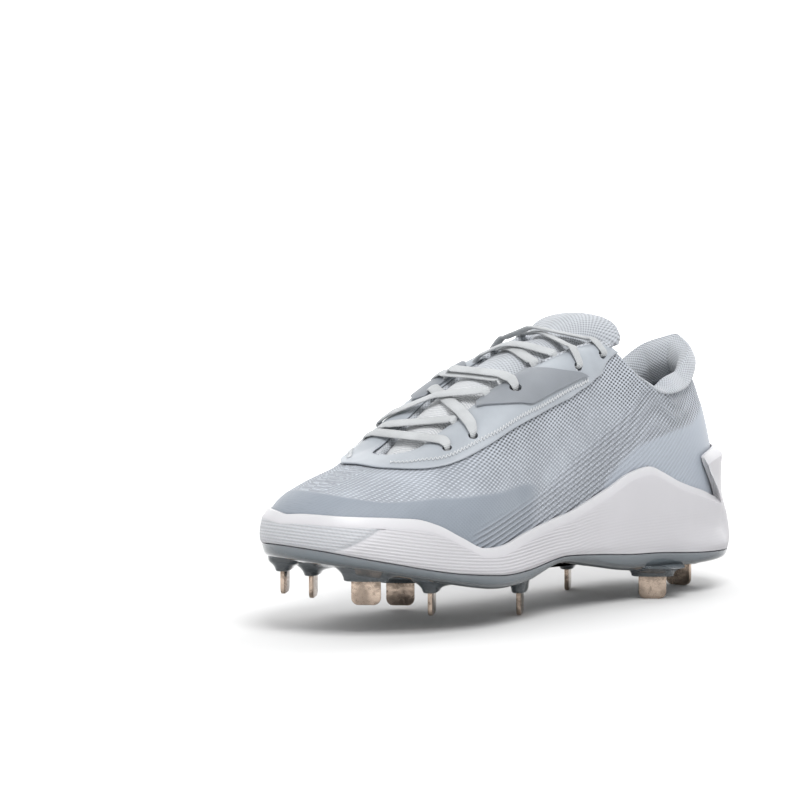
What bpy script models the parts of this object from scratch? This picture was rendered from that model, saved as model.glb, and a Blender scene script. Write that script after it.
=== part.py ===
"""Left baseball cleat with metal spikes: a hollow low-cut knit upper, foam midsole and moulded spike plate.

Metres, +Z up. The toe points to -Y, the outer side of the foot is +X, and Z = 0 is the ground under the spikes.
"""

import math

import bmesh
import bpy
import numpy as np
from mathutils import Vector
from mathutils.bvhtree import BVHTree

# Overall sizes
LENGTH = 0.2909  # sole, back of the heel flare to the toe
BALL_WIDTH = 0.0940  # last, across the ball
HEEL_OVERHANG = 0.01033  # sole behind the upper
TOE_OVERHANG = 0.00457  # sole ahead of the upper
LAST_LENGTH = LENGTH - HEEL_OVERHANG - TOE_OVERHANG  # outside of the upper, heel to toe
LAST_ASIDE = -0.0009  # last's axis beside the middle of the sole
COLLAR_HEIGHT = 0.0890  # back of the collar above the foot bed
TOE_SPRING = 0.0220
ARCH_RISE = 0.0100

# Spikes
SPIKE_HEIGHT = 0.0115  # steel below its pod
SPIKE_WIDTH = 0.0142
SPIKE_THICKNESS = 0.0022
SPIKE_SEAT = 0.0025  # steel inside the pod
SPIKE_CORNER = 0.0035
SEAT_CUT = 0.0020  # seat's cutter below the pod
POD_BITE = 0.0010  # pod inside the plate

# Sole
POD_HEIGHT = 0.0045
POD_BOTTOM_LENGTH = 0.0215
POD_BOTTOM_WIDTH = 0.0075
POD_TOP_LENGTH = 0.0280
POD_TOP_WIDTH = 0.0180
PLATE_THICKNESS = 0.0025
PLATE_LIP = 0.0085  # side of the plate above its underside
LIP_THICKNESS = 0.0018
SEAM_STEP = 0.0008  # foam stands this far outside the plate's side
PLATE_TUCK = 0.0045  # plate narrows below its side
HEEL_FOAM = 0.0190
FLARE = 0.0120  # widest foam outside the upper, at the back of the heel
RIM_LIP = 0.0016
RIM_HEIGHT = 0.0290  # highest foam side above the foot bed
CHAMFER = 0.0040

# Upper
WALL = 0.0022
COLLAR_FLARE = 0.0022
COLLAR_PAD = 0.0055
COLLAR_PROUD = 0.0036
TONGUE_THICKNESS = 0.0045
TONGUE_BOW = 0.0060  # edges of the tongue's top ahead of its middle
STAY_THICKNESS = 0.0010
STRAP_THICKNESS = 0.0011
INSOLE_THICKNESS = 0.0032
PATCH_THICKNESS = 0.0016
EYELET = 0.0042
EYELET_REACH = 0.0060  # lace holes cut this far in and out of the wall
LACE_WIDTH = 0.0062
LACE_THICKNESS = 0.0018
LACE_RISE = 0.0007  # laces above what they cross
GAP = 0.0003

# Mesh steps
STEPS = 26  # sections from heel to toe
LEVELS = 10  # steps up the wall of the upper
LACE_STEPS = 10

# The last in plan, a row for each section: its place from heel to toe as a share of the last's length, then its
# half-widths and the sideways shift of its axis as shares of the ball width
LAST = dict(
    along=(0.00, 0.12, 0.23, 0.36, 0.49, 0.60, 0.72, 0.83, 0.92, 1.00),
    outer=(0.36, 0.36, 0.36, 0.37, 0.41, 0.46, 0.51, 0.50, 0.48, 0.46),
    inner=(0.34, 0.34, 0.34, 0.33, 0.34, 0.41, 0.49, 0.48, 0.44, 0.42),
    shift=(0.02, 0.02, 0.01, 0.00, 0.00, 0.00, 0.00, -0.015, -0.04, -0.06),
)
HEEL_CAP = 0.125  # rounded ends, as shares of the last's length
TOE_CAP = 0.235
HEEL_ROUND = 2.1
TOE_ROUND = 2.25

# The opening, for the same kind of row: where the wall that starts at along ends. back is a share of the last's
# length, half a share of the ball width and height a share of the collar height. full and slope shape the wall
# between, and bulge pushes it out as a share of the flare at the collar
OPENING = dict(
    along=(0.00, 0.036, 0.123, 0.232, 0.359, 0.486, 0.594, 0.71, 0.819, 0.92, 0.982, 1.00),
    back=(0.040, 0.060, 0.120, 0.185, 0.257, 0.337, 0.467, 0.594, 0.688, 0.746, 0.775, 0.781),
    half=(0.00, 0.15, 0.255, 0.32, 0.35, 0.27, 0.215, 0.185, 0.160, 0.120, 0.055, 0.00),
    height=(0.945, 0.885, 0.76, 0.745, 0.845, 1.045, 0.95, 0.795, 0.635, 0.535, 0.515, 0.510),
    full=(1.15, 1.15, 1.25, 1.45, 1.80, 2.20, 2.25, 2.05, 1.95, 2.30, 2.90, 3.00),
    slope=(0.00, 0.00, 0.00, 0.00, 0.00, 0.00, 0.00, 0.05, 0.18, 0.32, 0.36, 0.36),
    bulge=(1.80, 1.60, 1.20, 0.90, 0.60, 0.50, 0.60, 0.60, 0.45, 0.80, 1.50, 1.60),
)

# The sole under the foot, a row for each section of the last: toe spring and arch as shares of their rises, foam
# under the foot as a share of the heel foam, and the height of the plate's side as a share of its lip
SOLE = dict(
    along=(0.00, 0.12, 0.27, 0.40, 0.49, 0.60, 0.70, 0.81, 0.92, 1.00),
    spring=(0.0, 0.0, 0.0, 0.0, 0.0, 0.05, 0.19, 0.45, 0.75, 0.96),
    arch=(0.0, 0.0, 0.05, 0.60, 1.0, 0.25, 0.0, 0.0, 0.0, 0.0),
    foam=(1.00, 1.00, 0.97, 0.60, 0.26, 0.50, 0.44, 0.33, 0.27, 0.25),
    lip=(0.50, 0.72, 1.00, 0.70, 0.42, 0.80, 0.78, 0.62, 0.68, 0.85),
)

# The foam's outer side, a row for each section: how far its widest line, the line at mid height and the shoulder
# under the rim stand outside the upper, as shares of the flare
SIDE = dict(
    along=(0.00, 0.04, 0.12, 0.25, 0.40, 0.50, 0.62, 0.74, 0.85, 0.95, 1.00),
    widest=(0.86, 0.78, 0.60, 0.50, 0.44, 0.40, 0.44, 0.46, 0.42, 0.38, 0.38),
    middle=(0.46, 0.48, 0.48, 0.44, 0.38, 0.34, 0.38, 0.42, 0.38, 0.34, 0.32),
    shoulder=(0.52, 0.48, 0.38, 0.36, 0.32, 0.28, 0.30, 0.36, 0.34, 0.28, 0.26),
)

# The rim of the foam: place round the sole, 0 at the back of the heel and 1 at the toe, its height above the
# foot bed as a share of the rim height, and how far its top leans towards the toe, as a share of the way round
RIM = dict(
    round=(0.00, 0.0769, 0.1154, 0.1539, 0.225, 0.276, 0.316, 0.345, 0.380, 0.412, 0.451, 0.513, 0.565, 0.615, 0.645,
           0.683, 0.723, 0.755, 0.787, 0.841, 0.893, 0.957, 1.000),
    height=(1.27, 1.26, 1.15, 0.40, 0.58, 0.755, 0.96, 1.08, 1.01, 0.83, 0.67, 0.535, 0.445, 0.325, 0.305,
            0.46, 0.625, 0.675, 0.65, 0.60, 0.565, 0.54, 0.50),
    lean=(0.000, 0.050, 0.092, 0.010, 0.000, 0.000, 0.000, 0.000, 0.000, 0.000, 0.000, 0.000, 0.000, 0.000, 0.000,
          0.000, 0.000, 0.000, 0.000, 0.000, 0.000, 0.000, 0.000),
)

# Spikes: place from heel to toe as a share of the length, place across as a share of the ball width, and the
# turn of the blade about the vertical in degrees
SPIKES = (
    ("spike_toe_inner", 0.918, -0.305, 128),
    ("spike_ball_inner", 0.824, -0.410, 128),
    ("spike_arch_inner", 0.640, -0.350, 42),
    ("spike_toe_outer", 0.884, 0.195, 42),
    ("spike_ball_outer", 0.750, 0.245, 128),
    ("spike_arch_outer", 0.537, 0.230, 128),
    ("spike_heel_inner", 0.263, -0.240, 128),
    ("spike_heel_outer", 0.240, 0.330, 42),
    ("spike_heel_back", 0.080, 0.070, 14),
)

# The eyestay: how far down the wall it reaches from the opening, a row for each section of the last
STAY = dict(
    along=(0.439, 0.466, 0.513, 0.597, 0.672, 0.735, 0.797, 0.845, 0.912, 0.981, 1.000),
    reach=(0.298, 0.415, 0.480, 0.490, 0.468, 0.455, 0.415, 0.361, 0.241, 0.130, 0.100),
)
STAY_EDGE = 0.985  # upper edge of the eyestay

# The strap on each side of the eyestay: its lower and upper edge on the wall
STRAP = dict(
    along=(0.470, 0.528, 0.597, 0.631, 0.680, 0.732),
    low=(0.640, 0.600, 0.590, 0.640, 0.740, 0.880),
    high=(0.640, 0.700, 0.860, 0.970, 0.970, 0.960),
)

# Lace holes of each side, a row for each from the toe up: section of the last and place up the wall
EYELETS = ((0.807, 0.720), (0.745, 0.665), (0.642, 0.775), (0.501, 0.710), (0.458, 0.845))

# Laces: for each joined crossing two bands, each with its end on the outer side and its end on the inner side as
# section and place up the wall
LACES = (
    ("lace_1", (0.803, 0.740), (0.807, 0.760), (0.789, 0.920), (0.800, 0.800)),
    ("lace_2", (0.742, 0.695), (0.705, 0.900), (0.705, 0.900), (0.745, 0.720)),
    ("lace_3", (0.672, 0.930), (0.636, 0.820), (0.640, 0.810), (0.670, 0.930)),
    ("lace_4", (0.605, 0.960), (0.565, 0.960), (0.565, 0.960), (0.605, 0.960)),
    ("lace_5", (0.500, 0.740), (0.465, 0.870), (0.457, 0.870), (0.504, 0.760)),
)

# The padded lining of the collar: rows down its outer face and its inner face, as places up the wall and shares of
# its thickness, and its roll over the edge as shares of the thickness inward and of its rise above the edge
LINING = dict(level=(0.72, 0.80, 0.88, 0.96), thick=(0.25, 0.55, 0.85, 1.00))
ROLL = dict(
    outer_in=(0.00, -0.06, 0.12),
    outer_up=(0.25, 0.62, 0.90),
    inner_in=(1.08, 1.00, 0.62),
    inner_up=(0.30, 0.75, 1.00),
)
LINING_END = 0.425  # section where the lining stops at the front of the collar

# The heel patch: how far it reaches round the heel on each side, and its lower and upper edge on the wall
PATCH_REACH = 0.052
PATCH_EDGES = (0.58, 0.755)

# The tongue under the throat, a row for each section: its middle above the edges as a share of the collar height
CROWN = dict(
    along=(0.56, 0.62, 0.68, 0.75, 0.82, 0.90, 0.955),
    crown=(0.105, 0.085, 0.070, 0.060, 0.048, 0.020, -0.010),
)
# The top of the tongue: place as a share of the last's length, half-width as a share of the ball width, heights
# of its edges and middle as shares of the collar height
TONGUE_TOP = dict(
    back=(0.375, 0.345, 0.315, 0.292),
    half=(0.200, 0.212, 0.250, 0.335),
    foot=(0.885, 0.930, 1.005, 1.060),
    height=(1.085, 1.135, 1.195, 1.210),
)
TONGUE_LEVELS = (0.86, 0.93, 1.00)
TONGUE_DEPTH = (0.0030, 0.0030, 0.0036)  # tongue below the inside of the upper at these levels
TONGUE_COLUMNS = 13
TONGUE_ROWS = 16


def smooth(table, column, at, key="along"):
    """A column of a table at any place, through its rows with no overshoot."""
    x = np.array(table[key])
    y = np.array(table[column])
    at = np.clip(np.asarray(at, float), x[0], x[-1])
    step = np.diff(x)
    rise = np.diff(y) / step
    turn = np.zeros_like(y)
    same = rise[:-1] * rise[1:] > 0
    mean = np.where(same, 2 * rise[:-1] * rise[1:] / np.where(same, rise[:-1] + rise[1:], 1), 0)
    turn[1:-1] = mean
    turn[0], turn[-1] = rise[0], rise[-1]
    i = np.clip(np.searchsorted(x, at, side="right") - 1, 0, len(step) - 1)
    t = (at - x[i]) / step[i]
    h = step[i]
    return (
        (2 * t**3 - 3 * t**2 + 1) * y[i]
        + (t**3 - 2 * t**2 + t) * h * turn[i]
        + (-2 * t**3 + 3 * t**2) * y[i + 1]
        + (t**3 - t**2) * h * turn[i + 1]
    )


def place(along):
    """Y of a share of the last's length."""
    return LENGTH / 2 - HEEL_OVERHANG - along * LAST_LENGTH


def along_at(y):
    return (LENGTH / 2 - HEEL_OVERHANG - y) / LAST_LENGTH


def along_round(w):
    """Share along the last of a place round it: 0 at the heel, 1 at the toe, 2 at the heel again."""
    return (1 - np.cos(np.pi * np.asarray(w, float))) / 2


def round_at(along, side):
    w = np.arccos(1 - 2 * np.clip(along, 0, 1)) / np.pi
    return w if side > 0 else 2 - w


def ground(y):
    """Underside of the spikes."""
    return TOE_SPRING * smooth(SOLE, "spring", along_at(y))


def underside(y):
    """Bottom of the plate between its pods."""
    return SPIKE_HEIGHT + POD_HEIGHT + ground(y) + ARCH_RISE * smooth(SOLE, "arch", along_at(y))


def foot_bed(y):
    return underside(y) + PLATE_THICKNESS + GAP + HEEL_FOAM * smooth(SOLE, "foam", along_at(y))


def plate_lip(y):
    """Height of the plate's side above its underside."""
    return np.maximum(PLATE_LIP * smooth(SOLE, "lip", along_at(y)), PLATE_THICKNESS + 4 * GAP)


def cap(along, reach, power):
    inside = np.clip(1 - along / reach, 0, 1)
    return (1 - inside**power) ** (1 / power)


def outline(w):
    """The last's outline in plan."""
    along = along_round(w)
    outer = np.asarray(w, float) % 2 <= 1
    half = np.where(outer, smooth(LAST, "outer", along), smooth(LAST, "inner", along))
    side = np.where(outer, 1.0, -1.0)
    ends = cap(along, HEEL_CAP, HEEL_ROUND) * cap(1 - along, TOE_CAP, TOE_ROUND)
    x = (side * half * ends + smooth(LAST, "shift", along)) * BALL_WIDTH + LAST_ASIDE
    return np.stack([x, place(along)], axis=-1)


def outward(w):
    """Unit normal in plan of the outline."""
    tangent = outline(w + 0.012) - outline(w - 0.012)
    normal = np.stack([-tangent[..., 1], tangent[..., 0]], axis=-1)
    return normal / np.linalg.norm(normal, axis=-1)[..., None]


def opening_line(w):
    """Where the wall ends, at the collar or the throat."""
    along = along_round(w)
    side = np.where(np.asarray(w, float) % 2 <= 1, 1.0, -1.0)
    back = smooth(OPENING, "back", along)
    x = (side * smooth(OPENING, "half", along) + smooth(LAST, "shift", back)) * BALL_WIDTH + LAST_ASIDE
    z = foot_bed(place(0.0)) + smooth(OPENING, "height", along) * COLLAR_HEIGHT
    return np.stack([x, place(back), z], axis=-1)


def surface(w, level):
    """Outside of the upper, at a place round it and a level from the foot bed (0) to the opening (1)."""
    w, level = np.broadcast_arrays(np.asarray(w, float), np.asarray(level, float))
    along = along_round(w)
    base = outline(w)
    end = opening_line(w)
    floor = foot_bed(base[..., 1]) + GAP
    full = smooth(OPENING, "full", along)
    slope = smooth(OPENING, "slope", along)
    turn = np.clip(level, 0, 1) * math.pi / 2
    across = 1 - np.clip(np.cos(turn), 0, 1) ** (2 / full)
    rise = (1 - slope) * np.sin(turn) ** (2 / full) + slope * across
    bulge = smooth(OPENING, "bulge", along) * np.sin(math.pi * np.clip(level * 1.25, 0, 1))
    flare = np.clip(1 - along / 0.30, 0, 1) * np.clip(level * 4 - 3, 0, 1) ** 2
    out = COLLAR_FLARE * (bulge + flare)
    plan = base + (end[..., :2] - base) * across[..., None] + outward(w) * out[..., None]
    z = floor + (end[..., 2] - floor) * rise
    return np.concatenate([plan, z[..., None]], axis=-1)


def skin(w, level, offset=0.0):
    """The outside of the upper moved outward by an offset."""
    w, level = np.broadcast_arrays(np.asarray(w, float), np.asarray(level, float))
    step = 0.012
    high = np.minimum(level + step, 0.995)
    low = np.maximum(np.minimum(level - step, high - 0.01), 0.004)
    middle = np.clip(level, 0.004, 0.995)
    around = surface(w + step, middle) - surface(w - step, middle)
    up = surface(w, high) - surface(w, low)
    normal = np.cross(up, around)
    normal = normal / np.linalg.norm(normal, axis=-1)[..., None]
    return surface(w, level) + normal * np.asarray(offset, float)[..., None]


def wall_ring(w, z, offset):
    """Points of the upper's wall at a height for each place round it, moved outward in plan."""
    fine = np.linspace(0, 0.8, 60)
    grid = surface(w[None, :], fine[:, None])
    points = np.zeros((len(w), 3))
    for i in range(len(w)):
        points[i, 0] = np.interp(z[i], grid[:, i, 2], grid[:, i, 0])
        points[i, 1] = np.interp(z[i], grid[:, i, 2], grid[:, i, 1])
        points[i, 2] = z[i]
    points[:, :2] += outward(w) * np.broadcast_to(offset, (len(w),))[:, None]
    return points


def rounds():
    return np.arange(2 * STEPS) / STEPS


def sole_rounds():
    """Places round the sole, closer together under the fin at the back of the heel."""
    fin = RIM["round"][2]
    half = [w for w in np.arange(STEPS + 1) / STEPS if w > fin + 0.01]
    half = list(np.linspace(0, fin, 7)) + half
    return np.array(half + [2 - w for w in half[-2:0:-1]])


def mirrored(w):
    """Place round the sole with both sides alike: 0 at the heel and 1 at the toe."""
    return np.where(w > 1, 2 - w, w)


def material(name, colour, roughness, metallic=0.0, alpha=1.0):
    made = bpy.data.materials.new(name)
    made.use_nodes = True
    shader = made.node_tree.nodes["Principled BSDF"]
    shader.inputs["Base Color"].default_value = (*colour, 1.0)
    shader.inputs["Roughness"].default_value = roughness
    shader.inputs["Metallic"].default_value = metallic
    shader.inputs["Alpha"].default_value = alpha
    return made


def to_object(name, bm, finish, smooth_angle=40):
    mesh = bpy.data.meshes.new(name)
    bmesh.ops.recalc_face_normals(bm, faces=bm.faces)
    bm.to_mesh(mesh)
    bm.free()
    made = bpy.data.objects.new(name, mesh)
    bpy.context.scene.collection.objects.link(made)
    mesh.materials.append(finish)
    mesh.shade_smooth()
    mesh.set_sharp_from_angle(angle=math.radians(smooth_angle))
    return made


def add_rings(bm, rings):
    """A closed solid through closed rings, with both ends bridged straight across."""
    loops = [[bm.verts.new(point) for point in ring] for ring in rings]
    count = len(loops[0])
    for low, high in zip(loops, loops[1:]):
        for i in range(count):
            j = (i + 1) % count
            bm.faces.new((low[i], low[j], high[j], high[i]))
    for loop in (loops[0], loops[-1]):
        for i in range(count // 2):
            face = [loop[i], loop[i + 1], loop[count - i - 1], loop[(count - i) % count]]
            bm.faces.new(list(dict.fromkeys(face)))


def loft(name, rings, finish, smooth_angle=40):
    bm = bmesh.new()
    add_rings(bm, rings)
    return to_object(name, bm, finish, smooth_angle)


def add_shell(bm, outside, inside, closed):
    outer = [[bm.verts.new(p) for p in row] for row in outside]
    inner = [[bm.verts.new(p) for p in row] for row in inside]
    rows = len(outer)
    columns = len(outer[0])
    spans = columns if closed else columns - 1
    for grid in (outer, inner):
        for r in range(rows - 1):
            for c in range(spans):
                d = (c + 1) % columns
                bm.faces.new((grid[r][c], grid[r][d], grid[r + 1][d], grid[r + 1][c]))
    for r in (0, rows - 1):
        for c in range(spans):
            d = (c + 1) % columns
            bm.faces.new((outer[r][c], outer[r][d], inner[r][d], inner[r][c]))
    if not closed:
        for c in (0, columns - 1):
            for r in range(rows - 1):
                bm.faces.new((outer[r][c], outer[r + 1][c], inner[r + 1][c], inner[r][c]))


def shell(name, outside, inside, finish, closed=True, smooth_angle=40):
    """A closed solid between two grids of points of the same size."""
    bm = bmesh.new()
    add_shell(bm, outside, inside, closed)
    return to_object(name, bm, finish, smooth_angle)


def boolean(target, tool, operation):
    change = target.modifiers.new(operation.lower(), "BOOLEAN")
    change.operation = operation
    change.solver = "EXACT"
    change.object = tool
    tool.hide_render = True
    tool.display_type = "WIRE"


def make_upper(finish):
    w = rounds()[None, :]
    levels = np.linspace(0, 1, LEVELS + 1)[:, None]
    outside = surface(w, levels)
    inside = skin(w, levels, -WALL)
    inside[0, :, 2] = outside[0, :, 2]
    inside[0, :, :2] = outside[0, :, :2] - outward(w[0]) * WALL
    return shell("upper", outside, inside, finish)


def make_insole(finish):
    w = rounds()
    y = outline(w)[:, 1]
    low = foot_bed(y) + GAP
    rings = [wall_ring(w, low, -WALL - GAP), wall_ring(w, low + INSOLE_THICKNESS, -WALL - GAP)]
    return loft("insole", rings, finish)


def side_at(w, column):
    return FLARE * smooth(SIDE, column, along_round(w))


def rim_at(w):
    """Height of the foam's rim and its shift round the sole."""
    at = mirrored(w)
    height = RIM_HEIGHT * smooth(RIM, "height", at, "round")
    lean = smooth(RIM, "lean", at, "round")
    return height, np.where(w > 1, -lean, lean)


def make_midsole(finish):
    w = sole_rounds()
    base = outline(w)
    bed = foot_bed(base[:, 1])
    height, lean = rim_at(w)
    rim = bed + height
    low = underside(base[:, 1]) + PLATE_THICKNESS + GAP
    lip = underside(base[:, 1]) + plate_lip(base[:, 1])
    seam = side_at(w, "widest") - SEAM_STEP
    inner = seam - LIP_THICKNESS - GAP
    top = w + lean
    clear = 0.012 * np.abs(lean)
    rings = [
        wall_ring(w, low, inner - PLATE_TUCK),
        wall_ring(w, low + (lip - low + GAP) * 0.35, inner - PLATE_TUCK * 0.35),
        wall_ring(w, lip + 2 * GAP, inner),
        wall_ring(w, lip + 2 * GAP, seam),
        wall_ring(w, lip + (rim - lip) * 0.16, side_at(w, "widest")),
        wall_ring(w, lip + (rim - lip) * 0.45, side_at(w, "middle")),
        wall_ring(top, rim - CHAMFER, side_at(w, "shoulder")),
        wall_ring(top, rim, RIM_LIP + 2 * GAP + clear),
        wall_ring(top, rim, 2 * GAP + clear),
        wall_ring(w + lean * 0.66, bed + height * 0.66, 2 * GAP + clear),
        wall_ring(w + lean * 0.36, bed + height * 0.36, 2 * GAP + clear),
        wall_ring(w + lean * 0.14, bed + height * 0.14, 2 * GAP),
        wall_ring(w, bed, 2 * GAP),
    ]
    return loft("midsole", rings, finish)


def make_plate(finish):
    w = sole_rounds()
    base = outline(w)
    low = underside(base[:, 1])
    lip = low + plate_lip(base[:, 1])
    seam = side_at(w, "widest") - SEAM_STEP
    inner = seam - LIP_THICKNESS
    floor = low + PLATE_THICKNESS
    rings = [
        wall_ring(w, low, seam - PLATE_TUCK * 1.25),
        wall_ring(w, low + (lip - low) * 0.30, seam - PLATE_TUCK * 0.35),
        wall_ring(w, lip, seam),
        wall_ring(w, lip, inner),
        wall_ring(w, floor + (lip - floor) * 0.35, inner - PLATE_TUCK * 0.35),
        wall_ring(w, floor, inner - PLATE_TUCK),
    ]
    plate = loft("plate", rings, finish)
    pods = bmesh.new()
    slots = bmesh.new()
    for name, back, across, turn in SPIKES:
        centre, along_blade, over = spike_frame(back, across, turn)
        add_pod(pods, centre, along_blade, over)
        add_slot(slots, centre, along_blade, over)
    boolean(plate, to_object("pods", pods, finish), "UNION")
    boolean(plate, to_object("slots", slots, finish), "DIFFERENCE")
    return plate


def spike_frame(back, across, turn):
    """Foot of a spike, and the directions along its blade and across it."""
    y = LENGTH / 2 - back * LENGTH
    angle = math.radians(turn)
    centre = Vector((across * BALL_WIDTH + LAST_ASIDE, y, float(ground(y))))
    return centre, Vector((math.cos(angle), math.sin(angle), 0)), Vector((-math.sin(angle), math.cos(angle), 0))


def add_pod(bm, centre, along_blade, over):
    rings = []
    for share, length, width in (
        (0.0, POD_BOTTOM_LENGTH, POD_BOTTOM_WIDTH),
        (0.45, POD_BOTTOM_LENGTH * 1.08, POD_BOTTOM_WIDTH * 1.35),
        (1.0, POD_TOP_LENGTH, POD_TOP_WIDTH),
    ):
        ring = []
        for i in range(10):
            angle = 2 * math.pi * i / 10
            c, s = math.cos(angle), math.sin(angle)
            power = 0.62
            u = math.copysign(abs(c) ** power, c) * length / 2
            v = math.copysign(abs(s) ** power, s) * width / 2
            point = centre + along_blade * u + over * v
            bottom = centre.z + SPIKE_HEIGHT
            under = float(underside(point.y)) + POD_BITE
            point.z = bottom + (under - bottom) * share
            ring.append(point)
        rings.append(ring)
    add_rings(bm, rings)


def add_box(bm, centre, along_blade, over, length, width, low, high):
    rings = []
    for z in (low, high):
        corners = ((1, 1), (-1, 1), (-1, -1), (1, -1))
        ring = [centre + along_blade * (u * length / 2) + over * (v * width / 2) for u, v in corners]
        for point in ring:
            point.z = z
        rings.append(ring)
    add_rings(bm, rings)


def add_slot(bm, centre, along_blade, over):
    low = centre.z + SPIKE_HEIGHT - SEAT_CUT
    high = centre.z + SPIKE_HEIGHT + SPIKE_SEAT + GAP
    add_box(bm, centre, along_blade, over, SPIKE_WIDTH + 2 * GAP, SPIKE_THICKNESS + 2 * GAP, low, high)


def make_spike(name, centre, along_blade, over, finish):
    """A steel blade with rounded lower corners, its top seated in the pod."""
    half = SPIKE_WIDTH / 2
    top = SPIKE_HEIGHT + SPIKE_SEAT
    profile = [(half, top), (-half, top)]
    for side in (-1, 1):
        for i in range(5):
            angle = math.radians(22.5 * i)
            u = half - SPIKE_CORNER * (1 - math.cos(angle))
            z = SPIKE_CORNER * (1 - math.sin(angle))
            profile.append((side * u, z))
        if side < 0:
            continue
        profile[-5:] = profile[:-6:-1]
    rings = []
    for v in (-SPIKE_THICKNESS / 2, SPIKE_THICKNESS / 2):
        ring = []
        for u, z in profile:
            point = centre + along_blade * u + over * v
            point.z = centre.z + z
            ring.append(point)
        rings.append(ring)
    bm = bmesh.new()
    loops = [[bm.verts.new(p) for p in ring] for ring in rings]
    count = len(loops[0])
    for i in range(count):
        j = (i + 1) % count
        bm.faces.new((loops[0][i], loops[0][j], loops[1][j], loops[1][i]))
    bm.faces.new(loops[0])
    bm.faces.new(loops[1])
    return to_object(name, bm, finish)


def spline(points, count):
    """Points along a smooth curve through given points."""
    points = np.array(points, float)
    ends = np.vstack([2 * points[0] - points[1], points, 2 * points[-1] - points[-2]])
    spread = np.linspace(0, len(points) - 1, count)
    i = np.minimum(spread.astype(int), len(points) - 2)
    t = (spread - i)[:, None]
    a, b, c, d = ends[i], ends[i + 1], ends[i + 2], ends[i + 3]
    return 0.5 * (2 * b + (c - a) * t + (2 * a - 5 * b + 4 * c - d) * t**2 + (3 * b - a - 3 * c + d) * t**3)


def tongue_row(along, count):
    """The top of the tongue across one section of the throat."""
    sides = []
    for side in (1, -1):
        w = round_at(along, side)
        sides.append([skin(w, level, -WALL - depth) for level, depth in zip(TONGUE_LEVELS, TONGUE_DEPTH)])
    middle = (sides[0][-1] + sides[1][-1]) / 2
    middle[2] += float(smooth(CROWN, "crown", along)) * COLLAR_HEIGHT
    shoulders = []
    for edge in (sides[0][-1], sides[1][-1]):
        shoulder = edge + (middle - edge) * 0.46
        shoulder[2] = edge[2] + (middle[2] - edge[2]) * 0.60
        shoulders.append(shoulder)
    return spline(sides[0] + [shoulders[0], middle, shoulders[1]] + sides[1][::-1], count)


def make_tongue(finish):
    """A padded sheet under both sides of the throat that rises above the front of the collar."""
    rows = [tongue_row(along, TONGUE_COLUMNS) for along in reversed(CROWN["along"])]
    bed = foot_bed(place(0.0))
    for back, half, foot, height in zip(
        TONGUE_TOP["back"], TONGUE_TOP["half"], TONGUE_TOP["foot"], TONGUE_TOP["height"]
    ):
        row = []
        for share in np.linspace(1, -1, TONGUE_COLUMNS):
            x = BALL_WIDTH * half * math.sin(share * math.pi / 2) + LAST_ASIDE
            z = bed + COLLAR_HEIGHT * (foot + (height - foot) * max(math.cos(share * math.pi / 2), 0) ** 0.7)
            row.append((x, place(back) - TONGUE_BOW * share**2, z))
        rows.append(np.array(row))
    rows = np.array(rows)
    fine = np.array([spline(rows[:, c], TONGUE_ROWS) for c in range(TONGUE_COLUMNS)]).transpose(1, 0, 2)
    share = np.linspace(-1, 1, TONGUE_COLUMNS)[None, :]
    rising = np.gradient(fine[:, TONGUE_COLUMNS // 2], axis=0)
    normal = np.zeros_like(fine)
    normal[:, :, 0] = 0.6 * share**3 * np.linalg.norm(rising, axis=1)[:, None]
    normal[:, :, 1] = rising[:, 2][:, None]
    normal[:, :, 2] = -rising[:, 1][:, None]
    normal = normal / np.linalg.norm(normal, axis=2)[:, :, None]
    thick = TONGUE_THICKNESS * (0.35 + 0.65 * (1 - share**4)) * np.ones((TONGUE_ROWS, 1))
    thick[-1] *= 0.35
    thick[0] *= 0.5
    inside = fine + normal * thick[:, :, None]
    return shell("tongue", fine, inside, finish, closed=False, smooth_angle=70)


def overlay_grid(w, low, high, rows, offset):
    levels = low + (high - low) * np.linspace(0, 1, rows)[:, None] * np.ones(len(w))
    return skin(w[None, :], levels, offset)


def make_eyestay(finish):
    """A thin film round the throat, standing proud of the knit."""
    start = round_at(STAY["along"][0], 1)
    inside = np.array([w for w in rounds() if start + 0.01 < w < 2 - start - 0.01])
    w = np.concatenate([[start], inside, [2 - start]])
    low = 1 - smooth(STAY, "reach", along_round(w))
    inner = overlay_grid(w, low, STAY_EDGE, 6, 2 * GAP)
    outer = overlay_grid(w, low, STAY_EDGE, 6, 2 * GAP + STAY_THICKNESS)
    return shell("eyestay", outer, inner, finish, closed=False)


def make_strap(name, side, finish):
    along = np.linspace(STRAP["along"][0], STRAP["along"][-1], 11)
    w = np.array([round_at(a, side) for a in along])
    low = smooth(STRAP, "low", along)
    high = smooth(STRAP, "high", along)
    base = STAY_THICKNESS + 6 * GAP
    inner = overlay_grid(w, low, high, 6, base)
    outer = overlay_grid(w, low, high, 6, base + STRAP_THICKNESS)
    return shell(name, outer, inner, finish, closed=False)


def make_holes(finish):
    bm = bmesh.new()
    for row, (along, level) in enumerate(EYELETS):
        for side in (1, -1):
            w = round_at(along, side)
            low = Vector(skin(w, level, -EYELET_REACH))
            high = Vector(skin(w, level, EYELET_REACH))
            axis = (high - low).normalized()
            across = axis.orthogonal().normalized()
            other = axis.cross(across)
            radius = EYELET / 2 * (1.35 if row == 2 else 1.0)
            rings = []
            for end in (low, high):
                ring = []
                for i in range(10):
                    angle = 2 * math.pi * i / 10
                    ring.append(end + (across * math.cos(angle) + other * math.sin(angle)) * radius)
                rings.append(ring)
            add_rings(bm, rings)
    return to_object("holes", bm, finish)


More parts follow.
